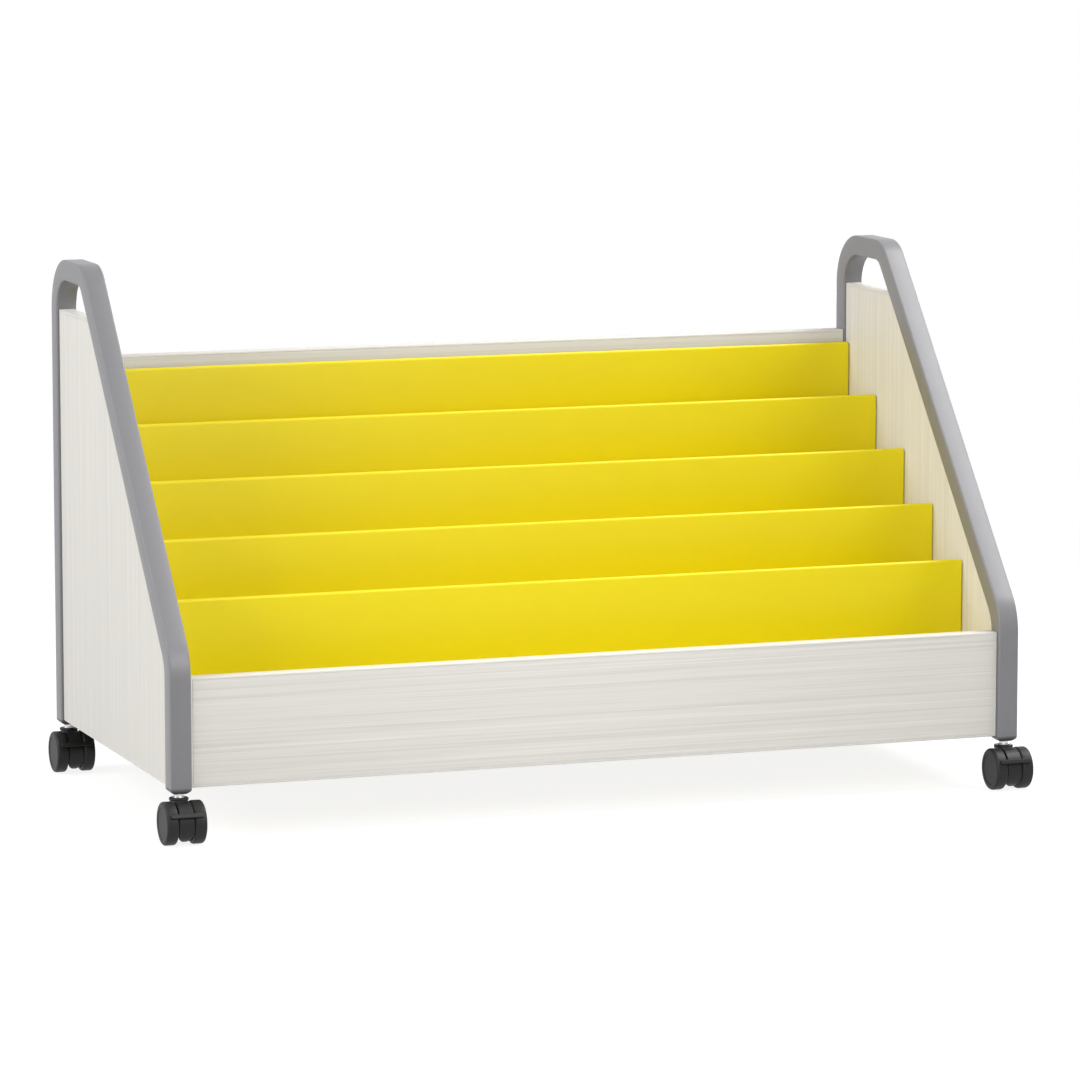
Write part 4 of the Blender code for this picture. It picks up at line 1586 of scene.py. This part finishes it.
    def build(self, side: Side, end: End, finishes: Finishes) -> None:
        """Set copies of body, pedal and wheels under one post.

        Args:
            side: which end of the shelf.
            end: which row of posts.
            finishes: the shelf's finishes.
        """
        where = f"{end.word}_{side.word}"
        low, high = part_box(f"post_cap_{where}")
        stand = Matrix.Translation(((low.x + high.x) / 2, (low.y + high.y) / 2, 0.0))
        body = copy_of(self.body, f"caster_housing_{where}", stand)
        seat(body, f"caster_{where}", finishes.nylon, (f"caster_body_{where}",))
        pedal = copy_of(self.pedal, f"brake_lever_{where}", stand)
        seat(pedal, f"pedal_{where}", finishes.nylon, (f"brake_pedal_{where}",))
        for out in (-1, 1):
            word = "outer" if out == side.value else "inner"
            aside = out * (self.body_width / 2 + self.wheel_gap)
            turn = Matrix.Rotation(0.0 if out > 0 else math.pi, 4, "Z")
            move = stand @ Matrix.Translation(self.axle + Vector((aside, 0.0, 0.0))) @ turn
            wheel = copy_of(self.wheel, f"{word}_tyre_{where}", move)
            seat(wheel, f"{word}_wheel_{where}", finishes.wheel, (f"{word}_wheel_{where}",))


@dataclass(frozen=True)
class SoftBox:
    """One rectangular studio lamp."""

    name: str
    place: tuple[float, float, float]
    aim: tuple[float, float, float]
    size: tuple[float, float]
    watts: float

    def build(self) -> None:
        """Hang the lamp."""
        lamp = bpy.data.lights.new(self.name, "AREA")
        lamp.shape = "RECTANGLE"
        lamp.size, lamp.size_y = self.size
        lamp.energy = self.watts
        holder = bpy.data.objects.new(self.name, lamp)
        bpy.context.scene.collection.objects.link(holder)
        holder.location = self.place
        holder.visible_camera = False
        holder.rotation_euler = (Vector(self.aim) - Vector(self.place)).to_track_quat("-Z", "Y").to_euler()


@dataclass
class Studio:
    """Floor, soft light, white surround and the camera at the photograph's view."""

    azimuth: float = math.radians(-19.596)
    elevation: float = math.radians(8.025)
    camera_place: tuple[float, float, float] = (-2.2304, -6.2799, 1.2366)
    lens: float = 184.02
    sensor: float = 36.0
    floor_size: float = 12.0
    floor_colour: float = 0.5
    floor_shade: float = 0.24
    floor_glow: float = 0.86
    white_from: float = 0.9
    white_at: float = 2.4
    surround: float = 0.40

    def lamps(self) -> tuple[SoftBox, ...]:
        """The studio's soft boxes.

        Returns:
            One box for each side that lights the shelf.
        """
        middle_height = (0.0, 0.0, 0.3)
        return (
            SoftBox("front_box", (-0.12, -1.1, 0.7), (-0.05, -0.2, 0.25), (0.9, 0.5), 5.7),
            SoftBox("top_box", (1.9, -0.4, 2.7), (0.4, 0.0, 0.4), (1.6, 2.0), 84.0),
            SoftBox("left_box", (-3.5, 0.2, 2.4), middle_height, (2.0, 2.0), 80.0),
            SoftBox("low_box", (-2.8, -1.5, 0.7), middle_height, (1.2, 1.2), 12.8),
            SoftBox("back_box", (1.8, 3.4, 0.32), middle_height, (2.0, 0.5), 34.0),
        )

    def build_camera(self) -> None:
        """Stand the camera where the photograph was taken from."""
        view = bpy.data.cameras.new("photograph_view")
        view.sensor_width = self.sensor
        view.lens = self.lens
        holder = bpy.data.objects.new("photograph_view", view)
        bpy.context.scene.collection.objects.link(holder)
        holder.location = self.camera_place
        holder.rotation_euler = (math.pi / 2 - self.elevation, 0.0, self.azimuth)
        bpy.context.scene.camera = holder

    def build_floor(self) -> None:
        """Lay a pale floor that looks white and keeps a soft shadow."""
        bpy.ops.object.select_all(action="DESELECT")
        bpy.ops.mesh.primitive_plane_add(size=self.floor_size)
        floor = new_piece("studio_floor")
        graph = Graph("pale_floor")
        seen = graph.node("ShaderNodeLightPath", output="Is Camera Ray")
        mirrored = graph.node("ShaderNodeLightPath", output="Is Glossy Ray")
        away = graph.node("ShaderNodeVectorMath", {"operation": "LENGTH"},
                          {0: graph.place((1.0, 1.0, 1.0))}, "Value")
        fade = graph.node("ShaderNodeMapRange", {"interpolation_type": "SMOOTHSTEP"}, {
            "Value": away, "From Min": self.white_from, "From Max": self.white_at,
        })
        paint = graph.node("ShaderNodeBsdfDiffuse", None, {"Color": tone((self.floor_colour,) * 3)})
        shade = graph.node("ShaderNodeBsdfDiffuse", None, {"Color": tone((self.floor_shade,) * 3)})
        glow = graph.node("ShaderNodeEmission", None, {"Strength": self.floor_glow})
        white = graph.node("ShaderNodeEmission", None, {"Strength": 1.0})
        near = graph.node("ShaderNodeAddShader", None, {0: glow, 1: shade})
        bright = graph.node("ShaderNodeMixShader", None, {0: fade, 1: near, 2: white})
        shown = graph.node("ShaderNodeMixShader", None, {
            0: seen.math("MAXIMUM", seen, mirrored), 1: paint, 2: bright,
        })
        graph.feed(graph.tree.nodes["Material Output"].inputs["Surface"], shown)
        floor.data.materials.append(graph.material)

    def build_surround(self) -> None:
        """A white surround for what is seen or mirrored, dimmer as light."""
        world = bpy.data.worlds.new("white_surround")
        bpy.context.scene.world = world
        world.use_nodes = True
        tree = world.node_tree
        sky = tree.nodes["Background"]
        sky.inputs["Color"].default_value = (1.0, 1.0, 1.0, 1.0)
        rays = tree.nodes.new("ShaderNodeLightPath")
        level = sky.inputs["Strength"]
        total = rays.outputs["Is Camera Ray"]
        for name in ("Is Glossy Ray", "Is Transmission Ray"):
            either = tree.nodes.new("ShaderNodeMath")
            either.operation = "MAXIMUM"
            tree.links.new(total, either.inputs[0])
            tree.links.new(rays.outputs[name], either.inputs[1])
            total = either.outputs[0]
        blend = tree.nodes.new("ShaderNodeMapRange")
        blend.inputs["To Min"].default_value = self.surround
        blend.inputs["To Max"].default_value = 1.0
        tree.links.new(total, blend.inputs["Value"])
        tree.links.new(blend.outputs["Result"], level)

    def build(self) -> None:
        """Set up the whole studio."""
        self.build_camera()
        self.build_floor()
        self.build_surround()
        for lamp in self.lamps():
            lamp.build()
        bpy.context.scene.view_settings.view_transform = "Standard"


def main() -> None:
    """Build the shelf's pieces in order, then the studio."""
    logging.basicConfig(level=logging.INFO, format="%(message)s")
    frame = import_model()
    finishes = Finishes()
    screw = Screw()
    tube = EndFrame()
    panel = EndPanel("left_end_panel", Grain.UPRIGHT, tube=tube)
    for side in Side:
        tube.build(side, finishes)
        panel.put(side, finishes)
    for node in ("front_board", "back_panel"):
        EdgedBoard(node, Grain.LEVEL).build(finishes)
    tray = Tray()
    trays = [name for name in frame["nodes"] if name.startswith("tray_")]
    for number in range(1, len(trays) + 1):
        tray.build(number, finishes, screw)
    bracket = CornerBracket()
    ends = PostEnd()
    caster = Caster()
    for end in End:
        for side in Side:
            bracket.build(side, end, finishes, screw)
            ends.build(side, end, finishes)
            caster.build(side, end, finishes)
            axle = frame["nodes"][f"caster_axle_{end.word}_{side.word}"]
            axle.material_slots[0].material = finishes.steel
            LOG.info("%s stays, in %s", axle.name, finishes.steel.name)
    discard(screw.head, tube.pattern, *panel.pattern, tray.pattern, bracket.pattern)
    discard(ends.cap, ends.stem, caster.wheel, caster.body, caster.pedal)
    Studio().build()


if __name__ == "__main__":
    main()
